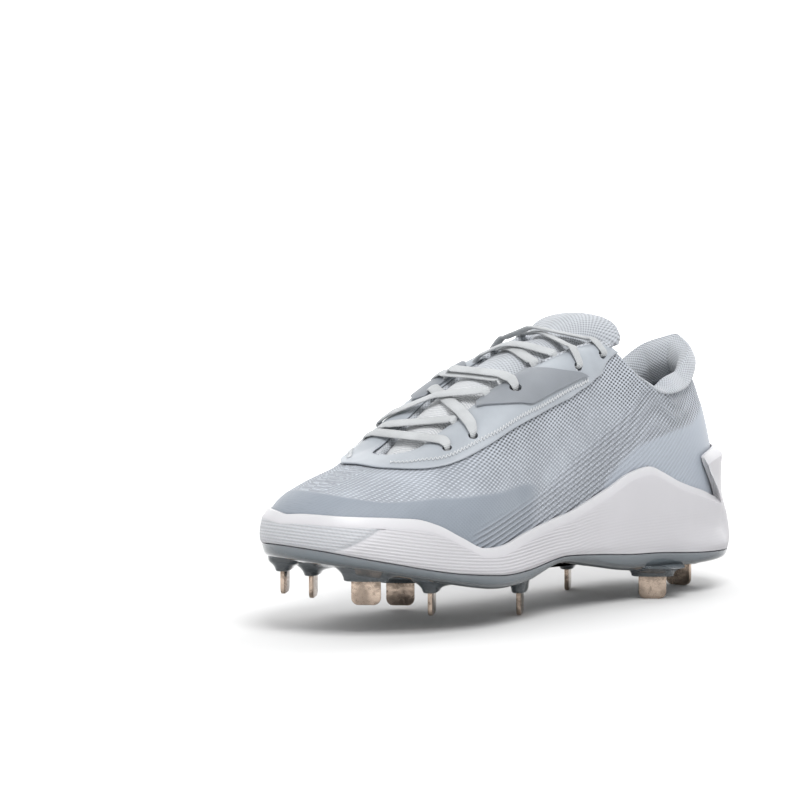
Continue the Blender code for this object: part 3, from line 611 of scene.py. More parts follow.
def tube(path, radius, sides=8, flat=1.0, wide=None, around=2.0):
    """A closed tube along a path; flat makes it a band whose width follows wide."""
    path = np.array(path, float)
    along = np.gradient(path, axis=0)
    along /= np.linalg.norm(along, axis=1)[:, None]
    if wide is None:
        wide = np.zeros_like(path)
        wide[:, 2] = 1.0
    across = wide - along * (along * wide).sum(axis=1)[:, None]
    across /= np.linalg.norm(across, axis=1)[:, None]
    up = np.cross(along, across)
    angle = np.linspace(0, 2 * math.pi, sides + 1)
    radius = np.ones(len(path)) * radius
    flat = np.ones(len(path)) * flat
    rim = path[:, None, :] + across[:, None, :] * (np.cos(angle) * radius[:, None])[:, :, None]
    rim = rim + up[:, None, :] * (np.sin(angle) * (radius * flat)[:, None])[:, :, None]
    length = run_length(path)
    girth = angle / (2 * math.pi) * radius.max() * around
    uv = np.stack(np.broadcast_arrays(length[:, None], girth[None, :]), axis=-1)
    bm = laid_grid(rim, uv, joined=True)
    bmesh.ops.holes_fill(bm, edges=[e for e in bm.edges if e.is_boundary], sides=0)
    return closed_out(bm)


# Materials


class Value:
    """A number that varies over a surface; arithmetic on it adds Math nodes."""

    def __init__(self, finish, socket):
        self.finish = finish
        self.socket = socket

    def math(self, operation, *others):
        return self.finish.node("ShaderNodeMath", {"operation": operation}, dict(enumerate((self,) + others)))

    def flipped(self, operation, other):
        return self.finish.node("ShaderNodeMath", {"operation": operation}, {0: other, 1: self})

    def __add__(self, other):
        return self.math("ADD", other)

    def __sub__(self, other):
        return self.math("SUBTRACT", other)

    def __mul__(self, other):
        return self.math("MULTIPLY", other)

    def __rsub__(self, other):
        return self.flipped("SUBTRACT", other)

    __radd__ = __add__
    __rmul__ = __mul__

    def cos(self):
        return self.math("COSINE")

    def step(self, low, high):
        """0 below low, 1 above high, with a soft step between."""
        settings = {"interpolation_type": "SMOOTHSTEP"}
        return self.finish.node("ShaderNodeMapRange", settings, {0: self, 1: low, 2: high, 3: 0.0, 4: 1.0})


class Finish:
    """A material and the nodes that give its surface detail."""

    def __init__(self, name, **sockets):
        self.material = bpy.data.materials.new(name)
        self.material.use_nodes = True
        self.tree = self.material.node_tree
        self.shader = self.tree.nodes["Principled BSDF"]
        for key, value in sockets.items():
            self.shader.inputs[key.replace("_", " ").title().replace("Ior", "IOR")].default_value = value

    def node(self, kind, settings=None, sockets=None, out=0):
        made = self.tree.nodes.new(kind)
        for key, value in (settings or {}).items():
            setattr(made, key, value)
        for key, value in (sockets or {}).items():
            self.link(made.inputs[key], value)
        return Value(self, made.outputs[out])

    def link(self, socket, value):
        if isinstance(value, Value):
            self.tree.links.new(value.socket, socket)
        elif hasattr(value, "__len__") and len(value) == 3 and len(socket.default_value) == 4:
            socket.default_value = (*value, 1.0)
        else:
            socket.default_value = value

    def mark(self, name):
        return self.node("ShaderNodeAttribute", {"attribute_name": name}, out=2)

    def split(self, vector):
        parts = self.tree.nodes.new("ShaderNodeSeparateXYZ")
        self.link(parts.inputs[0], vector)
        return [Value(self, parts.outputs[i]) for i in range(3)]

    def sheet(self):
        """Place on the piece's own UV map, in metres."""
        return self.split(self.node("ShaderNodeUVMap", {"uv_map": "UVMap"}))

    def here(self):
        return self.node("ShaderNodeTexCoord", out=3)

    def noise(self, scale, detail=3.0, vector=None):
        sockets = {"Vector": vector or self.here(), "Scale": scale, "Detail": detail}
        return self.node("ShaderNodeTexNoise", {}, sockets)

    def mix(self, low, high, share):
        return self.node("ShaderNodeMix", {"data_type": "RGBA"}, {0: share, 6: low, 7: high}, out=2)

    def colour(self, value):
        self.link(self.shader.inputs["Base Color"], value)

    def rough(self, value):
        self.link(self.shader.inputs["Roughness"], value)

    def relief(self, height):
        """A bump from a height in metres."""
        bump = self.node("ShaderNodeBump", {}, {"Distance": 1.0, "Height": height})
        self.link(self.shader.inputs["Normal"], bump)


def lattice(u, v, across, up):
    """Staggered dots, from -1 in the gaps between them to 1 on their tops."""
    return (u * (2 * math.pi / across)).cos() * (v * (2 * math.pi / up)).cos()


def darker(colour, share):
    return tuple(c * share for c in colour)


def knit_finish(colour):
    """Open knit with a fused film at the foot, ribs at the side and a smooth heel counter."""
    f = Finish("knit_mesh", roughness=0.8, sheen_weight=0.15, sheen_roughness=0.5)
    u, v, _ = f.sheet()
    film, counter, open_knit, ribs = f.mark("film"), f.mark("counter"), f.mark("open"), f.mark("ribs")
    dots = lattice(u, v, 0.0030, 0.0021)
    fine = lattice(u, v, 0.0022, 0.0019)
    bare = film.math("MAXIMUM", counter)
    # Painted shade in the knit's holes, strongest where the knit is open, and a painted highlight on the tops
    # of its dots.
    hole_shade = (0.0 - dots).step(0.05, 0.75) * open_knit * (1 - bare)
    yarn_highlight = dots.step(0.15, 0.85) * (1 - bare)
    cloud = f.noise(38.0, 4.0)
    strands = f.noise(1400.0, 2.0)
    base = f.mix(darker(colour, 0.88), darker(colour, 1.10), cloud.step(0.35, 0.65))
    # Painted highlight on the dot tops, then painted shade in the holes.
    base = f.mix(base, darker(colour, 1.95), yarn_highlight * 0.75 * strands.step(0.2, 0.65))
    base = f.mix(base, darker(colour, 0.07), hole_shade)
    base = f.mix(base, darker(colour, 0.60), fine.step(0.2, 0.8) * film * 0.55)
    smooth_film = (colour[0] * 0.60, colour[1] * 0.65, colour[2] * 0.69)
    base = f.mix(base, smooth_film, film * 0.75)
    base = f.mix(base, (colour[0] * 1.02, colour[1] * 1.05, colour[2] * 1.08), counter * 0.9)
    wave = (f.mark("rib_line") * (2 * math.pi)).cos()
    # Painted highlight on the rib crests and painted shade in the grooves between the ribs.
    line = wave.step(0.35, 0.95) * ribs
    base = f.mix(base, darker(colour, 1.22), line * 0.55)
    base = f.mix(base, darker(colour, 0.55), (0.0 - wave).step(0.3, 1.0) * ribs * 0.5)
    f.colour(base)
    f.rough(0.86 - film * 0.30 - counter * 0.32 + strands * 0.05)
    height = dots * (1 - bare) * 0.00016 + fine * film * 0.00003
    height = height + wave * ribs * 0.0004 + strands * (1 - bare) * 0.00006
    height = height + f.noise(900.0, 2.0) * bare * 0.00002
    f.relief(height)
    return f.material


def film_finish(name, colour, rough):
    """Smooth synthetic film with a faint grain and scuffs."""
    f = Finish(name, roughness=rough, coat_weight=0.08, coat_roughness=0.4)
    cloud = f.noise(45.0, 3.0)
    grain = f.noise(2600.0, 2.0)
    u, v, _ = f.sheet()
    weave = lattice(u, v, 0.0016, 0.0016)
    base = f.mix(darker(colour, 0.93), darker(colour, 1.06), cloud.step(0.3, 0.7))
    base = f.mix(base, darker(colour, 1.10), grain.step(0.55, 0.75) * 0.35)
    f.colour(base)
    scuff = f.noise(120.0, 5.0)
    f.rough(rough + (scuff - 0.5) * 0.22)
    f.relief(grain * 0.00003 + weave * 0.000012 + cloud * 0.0002)
    return f.material


def fine_knit_finish(name, colour, across, up, light=1.35, dark=0.35, white=False):
    """Close knit in rows, for the collar, the tongue and the foot bed."""
    f = Finish(name, roughness=0.9, sheen_weight=0.25, sheen_roughness=0.6)
    u, v, _ = f.sheet()
    dots = lattice(u, v, across, up)
    strands = f.noise(1500.0, 2.0)
    cloud = f.noise(40.0, 3.0)
    base = f.mix(darker(colour, 0.92), darker(colour, 1.08), cloud.step(0.35, 0.65))
    # Painted highlight on the tops of the dots and painted shade in the gaps between them.
    base = f.mix(base, darker(colour, light), dots.step(0.1, 0.9) * 0.7)
    base = f.mix(base, darker(colour, dark), (0.0 - dots).step(0.25, 0.9) * 0.75)
    height = dots * 0.00014 + strands * 0.00006
    if white:
        band = f.mark("white")
        stripes = (v * (2 * math.pi / 0.0014) + (u * (2 * math.pi / 0.011)).cos() * 2.2).cos()
        base = f.mix(base, (0.60, 0.61, 0.62), band * 0.85)
        # Painted shade in the troughs of the stripes across the white band.
        base = f.mix(base, (0.34, 0.36, 0.39), band * (0.0 - stripes).step(0.2, 0.9) * 0.6)
        height = height * (1 - band) + stripes * band * 0.00016
    f.colour(base)
    f.rough(0.92 - strands * 0.10)
    f.relief(height)
    return f.material


def lace_finish(colour):
    """Flat woven lace with a herringbone of fine threads."""
    f = Finish("woven_lace", roughness=0.82, sheen_weight=0.2, sheen_roughness=0.5)
    u, v, _ = f.sheet()
    lean = (v * (2 * math.pi / 0.0062)).cos() * 0.0009
    weave = ((u + lean) * (2 * math.pi / 0.00085)).cos()
    cloud = f.noise(60.0, 3.0)
    base = f.mix(darker(colour, 0.88), darker(colour, 1.06), cloud.step(0.3, 0.7))
    # Painted shade in the troughs between the threads.
    base = f.mix(base, darker(colour, 0.72), (0.0 - weave).step(0.2, 0.9) * 0.45)
    f.colour(base)
    f.rough(0.84 + (cloud - 0.5) * 0.1)
    f.relief(weave * 0.00007 + f.noise(2400.0, 2.0) * 0.00003)
    return f.material


def foam_finish(colour):
    """Moulded foam with fine lines along the forefoot, painted shade in their troughs, and a painted
    highlight on the bevelled edge.
    """
    f = Finish("moulded_foam", roughness=0.5, subsurface_weight=0.12, subsurface_scale=0.004)
    f.shader.inputs["Subsurface Radius"].default_value = (1.0, 0.9, 0.9)
    u, v, _ = f.sheet()
    lines, panel, edge = f.mark("lines"), f.mark("panel"), f.mark("edge")
    wave = (v * (2 * math.pi / 0.00155)).cos()
    dots = lattice(u, v, 0.0022, 0.0031)
    cloud = f.noise(30.0, 3.0)
    base = f.mix(colour, darker(colour, 1.04), cloud.step(0.3, 0.7))
    base = f.mix(base, (0.37, 0.39, 0.415), panel * 0.75)
    # Painted shade in the troughs of the moulded lines.
    base = f.mix(base, darker(colour, 0.91), (0.0 - wave).step(0.2, 0.95) * lines * 0.9)
    base = f.mix(base, darker(colour, 0.90), dots.step(0.3, 0.9) * panel * 0.5)
    # Painted highlight along the bevelled edge at the rim.
    base = f.mix(base, (0.52, 0.525, 0.535), edge * 0.6)
    f.colour(base)
    f.rough(0.52 - edge * 0.16 + (f.noise(160.0, 4.0) - 0.5) * 0.12)
    f.relief(wave * lines * 0.00013 + dots * panel * 0.00005 + f.noise(1800.0, 2.0) * 0.00003)
    return f.material


def resin_finish(colour):
    """Clear tinted resin, cloudy inside, with painted shade towards its underside."""
    f = Finish("clear_resin", roughness=0.16, transmission_weight=0.45, ior=1.46)
    f.shader.inputs["Coat Weight"].default_value = 0.5
    f.shader.inputs["Coat Roughness"].default_value = 0.06
    cloud = f.noise(26.0, 3.0)
    depth = f.mark("depth")
    body = f.mix(darker(colour, 0.72), darker(colour, 1.05), cloud.step(0.3, 0.7))
    # Painted shade: lightest at the top of the lip, darker towards the plate's underside and the pods.
    body = f.mix((0.27, 0.30, 0.33), body, depth.step(0.05, 0.5))
    f.colour(f.mix(body, darker(colour, 0.35), depth.step(0.45, 1.0)))
    scuff = f.noise(240.0, 5.0)
    f.rough(0.13 + scuff.step(0.5, 0.8) * 0.14)
    f.relief(f.noise(70.0, 2.0) * 0.0003 + scuff * 0.00003)
    return f.material


def steel_finish(colour):
    """Bright steel with a warm tint, brushed and scuffed."""
    f = Finish("brushed_steel", metallic=1.0, roughness=0.3)
    stretched = f.node("ShaderNodeMapping", {}, {"Vector": f.here(), "Scale": (6.0, 6.0, 90.0)})
    brush = f.noise(30.0, 3.0, stretched)
    cloud = f.noise(130.0, 2.0)
    scuff = f.noise(420.0, 5.0)
    base = f.mix(darker(colour, 0.62), darker(colour, 1.20), cloud.step(0.35, 0.65))
    base = f.mix(base, darker(colour, 0.85), brush.step(0.4, 0.7) * 0.25)
    f.colour(f.mix(base, darker(colour, 0.45), scuff.step(0.55, 0.75) * 0.5))
    f.rough(0.16 + brush * 0.10 + scuff.step(0.5, 0.7) * 0.16)
    f.relief(brush * 0.00001 + scuff * 0.00004 + cloud * 0.0004)
    return f.material


def rubber_finish(colour):
    """Dark matte rubber with a fine grain."""
    f = Finish("matte_rubber", roughness=0.6)
    cloud = f.noise(90.0, 4.0)
    grain = f.noise(2200.0, 2.0)
    f.colour(f.mix(darker(colour, 0.85), darker(colour, 1.3), cloud.step(0.3, 0.7)))
    f.rough(0.58 + (cloud - 0.5) * 0.2)
    f.relief(grain * 0.00005)
    return f.material


def thread_finish(colour):
    """White stitching thread."""
    f = Finish("stitching", roughness=0.7, sheen_weight=0.2)
    twist = f.noise(3000.0, 2.0)
    f.colour(f.mix(darker(colour, 0.80), colour, twist.step(0.3, 0.6)))
    f.rough(0.65 + twist * 0.1)
    f.relief(twist * 0.00004)
    return f.material


def floor_finish(colour):
    """Pale floor with a painted glow that turns it white away from the shoe."""
    f = Finish("studio_floor", roughness=0.9, emission_strength=1.0)
    x, y, z = f.split(f.here())
    # Painted glow: the floor gives off white light away from the shoe and none near it.
    away = (x * x + y * y).step(0.045, 0.40)
    f.link(f.shader.inputs["Emission Color"], f.mix((0.0, 0.0, 0.0), (1.0, 1.0, 1.0), away))
    cloud = f.noise(3.0, 2.0)
    f.colour(f.mix(darker(colour, 0.995), colour, cloud))
    f.rough(0.88 + cloud * 0.04)
    return f.material


def wall_finish():
    """A lit white wall behind the floor."""
    f = Finish("studio_wall", roughness=1.0, emission_strength=1.0)
    f.shader.inputs["Emission Color"].default_value = (1.0, 1.0, 1.0, 1.0)
    return f.material


# Settings


def tint(name, description, value):
    return FloatVectorProperty(
        name=name, description=description, default=value, subtype="COLOR", min=0, max=1, size=3
    )


def metres(name, description, value):
    return FloatProperty(name=name, description=description, default=value, unit="LENGTH")


class CleatColours(bpy.types.PropertyGroup):
    """Colours of the cleat's materials."""

    knit: tint("Knit", "Yarn of the upper", (0.295, 0.317, 0.352))
    film: tint("Eyestay", "Smooth film round the throat", (0.31, 0.335, 0.365))
    strap: tint("Strap", "Flap that holds the third lace hole", (0.185, 0.20, 0.22))
    lining: tint("Lining", "Padded collar", (0.36, 0.38, 0.41))
    tongue: tint("Tongue", "Padded tongue", (0.36, 0.38, 0.41))
    footbed: tint("Foot bed", "Top of the insole", (0.27, 0.29, 0.32))
    lace: tint("Laces", "Flat laces", (0.42, 0.435, 0.445))
    foam: tint("Foam", "Midsole", (0.455, 0.45, 0.47))
    resin: tint("Resin", "Spike plate", (0.18, 0.212, 0.236))
    steel: tint("Steel", "Blades", (0.43, 0.345, 0.28))
    rubber: tint("Heel patch", "Small patch at the back of the collar", (0.075, 0.08, 0.09))
    thread: tint("Thread", "Zigzag stitching", (0.56, 0.575, 0.59))
    floor: tint("Floor", "Studio floor", (0.68, 0.68, 0.68))


class CleatSizes(bpy.types.PropertyGroup):
    """Sizes of the cleat's finer detail."""

    rib_pitch: metres("Rib spacing", "From one raised rib at the side to the next", 0.0026)
    stitch_pitch: metres("Stitch spacing", "From one zigzag of the seam to the next", 0.0020)
    stitch_width: metres("Stitch width", "Width of the zigzag seam", 0.0023)
    thread: metres("Thread", "Thickness of the stitching thread", 0.00042)
    roll: metres("Throat roll", "Radius of the knit roll beside the top lace holes", 0.0021)


def colours():
    return bpy.context.scene.cleat_colours


def sizes():
    return bpy.context.scene.cleat_sizes


# Pieces


def upper_marks(w, level):
    """Where the upper is film, counter, open knit or ribbed."""
    points = surface(w, level)
    along = along_round(w) * np.ones_like(points[..., 0])
    tall = level * np.ones_like(along)
    edge = smooth(FILM_EDGE, "level", along)
    film = fade(edge - tall, -0.006, 0.014) * fade(along, 0.545, 0.60)
    back = smooth(COUNTER_EDGE, "level", along)
    counter = fade(back - tall, -0.010, 0.016) * fade(along, 0.42, 0.38)
    y, z = points[..., 1], points[..., 2]
    limit = smooth(RIBS, "limit", y, "back")
    ribs = fade(limit - z, 0.000, 0.007) * fade(y, -0.074, -0.060)
    ribs = ribs * (1 - 0.75 * counter) * fade(tall, 0.985, 0.90)
    ribs = ribs * fade(y, 0.118, 0.090)
    rib_line = (z - smooth(RIBS, "rise", y, "back")) / sizes().rib_pitch
    # How open the knit is; it sets how strong the painted shade in the knit's holes is.
    stay = 1 - smooth(STAY, "reach", along)
    drop = (stay - tall) / 0.34
    open_knit = np.clip(1 - drop, 0.22, 1) * (0.30 + 0.70 * fade(along, 0.80, 0.66))
    open_knit = open_knit * (1 - 0.45 * ribs) * fade(tall, 0.998, 0.975)
    return dict(film=film, counter=counter, ribs=ribs, rib_line=rib_line, open=open_knit)


def relief_of(marks, w, level):
    """Height of the upper's own steps and creases."""
    return crease_depth(w, level) + 0.00025 * marks["film"] + 0.0003 * marks["counter"]


def hole_cutters():
    """Short round pins where the lace holes are."""
    bm = bmesh.new()
    for row, (along, level) in enumerate(EYELETS):
        for side in (1, -1):
            w = round_at(along, side)
            centre = Vector(skin(w, level, 0.0))
            axis = (Vector(skin(w, level, 0.004)) - centre).normalized()
            turn = axis.to_track_quat("Z", "Y").to_matrix().to_4x4()
            turn.translation = centre
            radius = EYELET / 2 * (1.45 if row == 2 else 1.12)
            bmesh.ops.create_cone(
                bm, cap_ends=True, segments=24, radius1=radius, radius2=radius, depth=0.012, matrix=turn
            )
    mesh = bpy.data.meshes.new("pins")
    bm.to_mesh(mesh)
    bm.free()
    pins = bpy.data.objects.new("pins", mesh)
    bpy.context.scene.collection.objects.link(pins)
    pins.hide_render = True
    return pins


class CleatUpper(bpy.types.Operator):
    """Adds the hollow knit upper with its film, ribs and counter."""

    bl_idname = "cleat.upper"
    bl_label = "Upper"

    def execute(self, context):
        w = np.linspace(0, 2, COLUMNS + 1)[None, :]
        level = np.linspace(0, 1, ROWS)[:, None]
        marks = upper_marks(w, level)
        points = skin(w, level, relief_of(marks, w, level))
        points[:, -1] = points[:, 0]
        points[0] = surface(w[0], 0.0)
        bm = laid_grid(points, cloth_places(w, level), marks, joined=True)
        facing_out(bm, (0, 0, 0.06))
        upper = new_piece("knit_upper", bm, knit_finish(colours().knit), ("upper",), 180)
        thicken(upper, WALL, -1)
        pins = hole_cutters()
        subtract(upper, pins)
        remove(pins)
        return {"FINISHED"}


def overlay(name, w, low, high, rows, base, thickness, finish, replaced):
    """A film cut to a strip of the upper, with a rounded edge."""
    level = low + (high - low) * np.linspace(0, 1, rows)[:, None] * np.ones(len(w))
    crease = crease_depth(w[None, :], level)
    points = skin(w[None, :], level, base + 0.0004 + crease)
    uv = surface(w[None, :], level)[..., 1:]
    piece = new_piece(name, facing_out(laid_grid(points, uv), (0, 0, 0.06)), finish, replaced)
    thicken(piece, thickness, 1)
    round_edge = piece.modifiers.new("edge", "BEVEL")
    round_edge.width = thickness * 0.4
    round_edge.segments = 2
    round_edge.limit_method = "ANGLE"
    round_edge.angle_limit = math.radians(60)
    settle(piece, 40)
    pins = hole_cutters()
    subtract(piece, pins)
    remove(pins)
    return piece


class CleatOverlays(bpy.types.Operator):
    """Adds the eyestay film, the strap flaps and the heel patch."""

    bl_idname = "cleat.overlays"
    bl_label = "Overlays"

    def execute(self, context):
        start = round_at(STAY["along"][0], 1)
        w = np.linspace(start, 2 - start, 261)
        low = 1 - smooth(STAY, "reach", along_round(w))
        film = film_finish("eyestay_film", colours().film, 0.46)
        overlay("eyestay_film", w, low, STAY_EDGE, 26, GAP, STAY_THICKNESS, film, ("eyestay",))
        strap = film_finish("strap_film", colours().strap, 0.50)
        for name, side in (("outer", 1), ("inner", -1)):
            along = np.linspace(STRAP["along"][0], STRAP["along"][-1], 70)
            w = np.array([round_at(a, side) for a in along])
            low, high = smooth(STRAP, "low", along), smooth(STRAP, "high", along)
            base = STAY_THICKNESS + 2 * GAP
            flap, stands_for = "strap_flap_" + name, ("strap_" + name,)
            overlay(flap, w, low, high, 30, base, STRAP_THICKNESS, strap, stands_for)
        w = np.linspace(-PATCH_REACH, PATCH_REACH, 24)
        low = PATCH_EDGES[0] * np.ones(24)
        rubber = rubber_finish(colours().rubber)
        high = PATCH_EDGES[1]
        overlay("heel_tab", w, low, high, 16, GAP, PATCH_THICKNESS, rubber, ("heel_patch",))
        return {"FINISHED"}


def zigzag_path(side):
    """Points of the seam's thread over the eyestay on one side."""
    w = np.linspace(round_at(ZIGZAG["along"][0], side), round_at(0.955, side), 600)
    along = along_round(w)
    line = skin(w, smooth(ZIGZAG, "level", along), 0.0)
    length = run_length(line)
    count = int(length[-1] / sizes().stitch_pitch) * 2
    w = np.interp(np.linspace(0, length[-1], count), length, w)
    at = along_round(w)
    middle = smooth(ZIGZAG, "level", at)
    rise = surface(w, np.minimum(middle + 0.02, 1)) - surface(w, middle - 0.02)
    climb = np.linalg.norm(rise, axis=1) / 0.04
    swing = np.where(np.arange(count) % 2, 0.5, -0.5) * sizes().stitch_width / climb
    over = STAY_THICKNESS + 2 * GAP + 0.0005
    return skin(w, middle + swing, over)


class CleatStitching(bpy.types.Operator):
    """Adds the zigzag seam on the eyestay."""

    bl_idname = "cleat.stitching"
    bl_label = "Stitching"

    def execute(self, context):
        finish = thread_finish(colours().thread)
        for name, side in (("outer", 1), ("inner", -1)):
            corners = zigzag_path(side)
            steps = np.linspace(0, len(corners) - 1, 3 * len(corners) - 2)
            whole = np.arange(len(corners))
            path = np.stack([np.interp(steps, whole, corners[:, k]) for k in range(3)], axis=1)
            new_piece("zigzag_" + name, tube(path, sizes().thread / 2, 6), finish, angle=180)
        return {"FINISHED"}


def tongue_row(along, count):
    """The top of the tongue across one section of the throat."""
    sides = []
    for side in (1, -1):
        w = round_at(along, side)
        sides.append([skin(w, level, -WALL - depth) for level, depth in zip(TONGUE_LEVELS, TONGUE_DEPTH)])
    middle = (sides[0][-1] + sides[1][-1]) / 2
    middle[2] += float(smooth(CROWN, "crown", along)) * COLLAR_HEIGHT
    shoulders = []
    for edge in (sides[0][-1], sides[1][-1]):
        pair = []
        for share, lift in ((0.16, 0.42), (0.50, 0.80)):
            shoulder = edge + (middle - edge) * share
            shoulder[2] = edge[2] + (middle[2] - edge[2]) * lift
            pair.append(shoulder)
        shoulders.append(pair)
    return spline(sides[0] + shoulders[0] + [middle] + shoulders[1][::-1] + sides[1][::-1], count)


class CleatTongue(bpy.types.Operator):
    """Adds the padded tongue under the laces."""

    bl_idname = "cleat.tongue"
    bl_label = "Tongue"

    def execute(self, context):
        columns, lines = 49, 90
        rows = [tongue_row(along, columns) for along in reversed(CROWN["along"])]
        bed = foot_bed(place(0.0))
        for back, half, foot, height in zip(*TONGUE_TOP.values()):
            share = np.linspace(1, -1, columns)
            x = BALL_WIDTH * half * np.sin(share * math.pi / 2) + LAST_ASIDE
            arch = np.maximum(np.cos(share * math.pi / 2), 0) ** 0.7
            z = bed + COLLAR_HEIGHT * (foot + (height - foot) * arch)
            rows.append(np.stack([x, place(back) - 0.006 * share**2, z], axis=1))
        fine = spline(rows, lines)
        run = np.linspace(0, 1, lines)[:, None]
        share = np.linspace(1, -1, columns)[None, :]
        v = run_length(fine[:, columns // 2])
        u = np.linspace(-0.03, 0.03, columns)
        uv = sheet_places(u, v)
        white = fade(run, 0.50, 0.40) * np.ones_like(share)
        marks = dict(white=white, edge=np.abs(share) * np.ones_like(run))
        bm = facing_out(laid_grid(fine, uv, marks), (0, 0.02, 0.05))
        finish = fine_knit_finish("tongue_knit", colours().tongue, 0.0024, 0.0018, white=True)
        tongue = new_piece("padded_tongue", bm, finish, ("tongue",), 180)
        group = tongue.vertex_groups.new(name="pad")
        edges = tongue.data.attributes["edge"].data
        for i, vertex in enumerate(tongue.data.vertices):
            group.add([i], max(0.0, 1 - edges[i].value ** 4) * 0.9 + 0.1, "REPLACE")
        thicken(tongue, TONGUE_THICKNESS * 0.9, -1, "pad")
        settle(tongue, 180)
        return {"FINISHED"}


class CleatLining(bpy.types.Operator):
    """Adds the padded lining that rolls over the collar."""

    bl_idname = "cleat.lining"
    bl_label = "Collar lining"

    def execute(self, context):
        end = round_at(LINING_END, 1)
        w = np.linspace(-end, end, 240)
        taper = 0.30 + 0.70 * np.clip((end - np.abs(w)) / 0.16, 0, 1)
        back = WALL + 2 * GAP
        rings = [skin(w, level, -back) for level in LINING["level"]]
        edge = surface(w, 1.0)
        up = surface(w, 0.995) - surface(w, 0.93)
        up = up / np.linalg.norm(up, axis=1)[:, None]
        out = skin(w, 0.98, 1.0) - skin(w, 0.98, 0.0)
        rise = (COLLAR_PROUD * (0.5 + 0.5 * taper))[:, None]
        rolled = list(zip(ROLL["outer_in"], ROLL["outer_up"]))
        rolled += list(zip(ROLL["inner_in"], ROLL["inner_up"]))[::-1]
        for inward, upward in rolled:
            rings.append(edge - out * (back + COLLAR_PAD * inward * taper)[:, None] + up * rise * upward)
        for level, thick in list(zip(*LINING.values()))[::-1]:
            rings.append(skin(w, level, -back - COLLAR_PAD * thick * taper))
        across = spline(rings, 48)
        across = np.concatenate([across, across[:1]])
        v = run_length(across[:, 120])
        round_length = run_length(edge)
        uv = sheet_places(round_length, v)
        bm = laid_grid(across, uv, joined=True)
        bmesh.ops.holes_fill(bm, edges=[e for e in bm.edges if e.is_boundary], sides=0)
        finish = fine_knit_finish("collar_knit", colours().lining, 0.0020, 0.0018)
        lining = new_piece("collar_roll", closed_out(bm), finish, ("collar_lining",), 180)
        return {"FINISHED"}


class CleatInsole(bpy.types.Operator):
    """Adds the foot bed."""

    bl_idname = "cleat.insole"
    bl_label = "Insole"

    def execute(self, context):
        w = np.linspace(0, 2, 181)
        y = outline(w)[:, 1]
        edge = wall_ring(w, foot_bed(y) + GAP + INSOLE_THICKNESS, -WALL - GAP)
        low = wall_ring(w, foot_bed(y) + GAP, -WALL - GAP)
        spine = edge.copy()
        spine[:, 0] = smooth(LAST, "shift", along_at(edge[:, 1])) * BALL_WIDTH
        spine[:, 1] = edge[:, 1] * 0.86
        spine[:, 2] = foot_bed(spine[:, 1]) + GAP + INSOLE_THICKNESS
        rows = [low, low * 0.5 + edge * 0.5, edge]
        for share in np.linspace(0.06, 1.0, 16):
            dip = 0.0007 * math.sin(math.pi * min(share, 0.5))
            rows.append(edge + (spine - edge) * share - np.array([0, 0, dip]))
        points = np.array(rows)
        bm = laid_grid(points, points[..., :2], joined=True)
        bmesh.ops.holes_fill(bm, edges=[e for e in bm.edges if e.is_boundary], sides=0)
        finish = fine_knit_finish("footbed_weave", colours().footbed, 0.0017, 0.0017, 1.25, 0.5)
        new_piece("foot_bed", closed_out(bm), finish, ("insole",), 60)
        return {"FINISHED"}


def sole_places():
    """Places round the sole, closer together at the fin behind the heel."""
    fin = RIM["round"][3]
    half = list(np.linspace(0, fin, 40)) + list(np.linspace(fin, 1, 150))[1:]
    return np.array(half + [2 - w for w in half[-2::-1]])


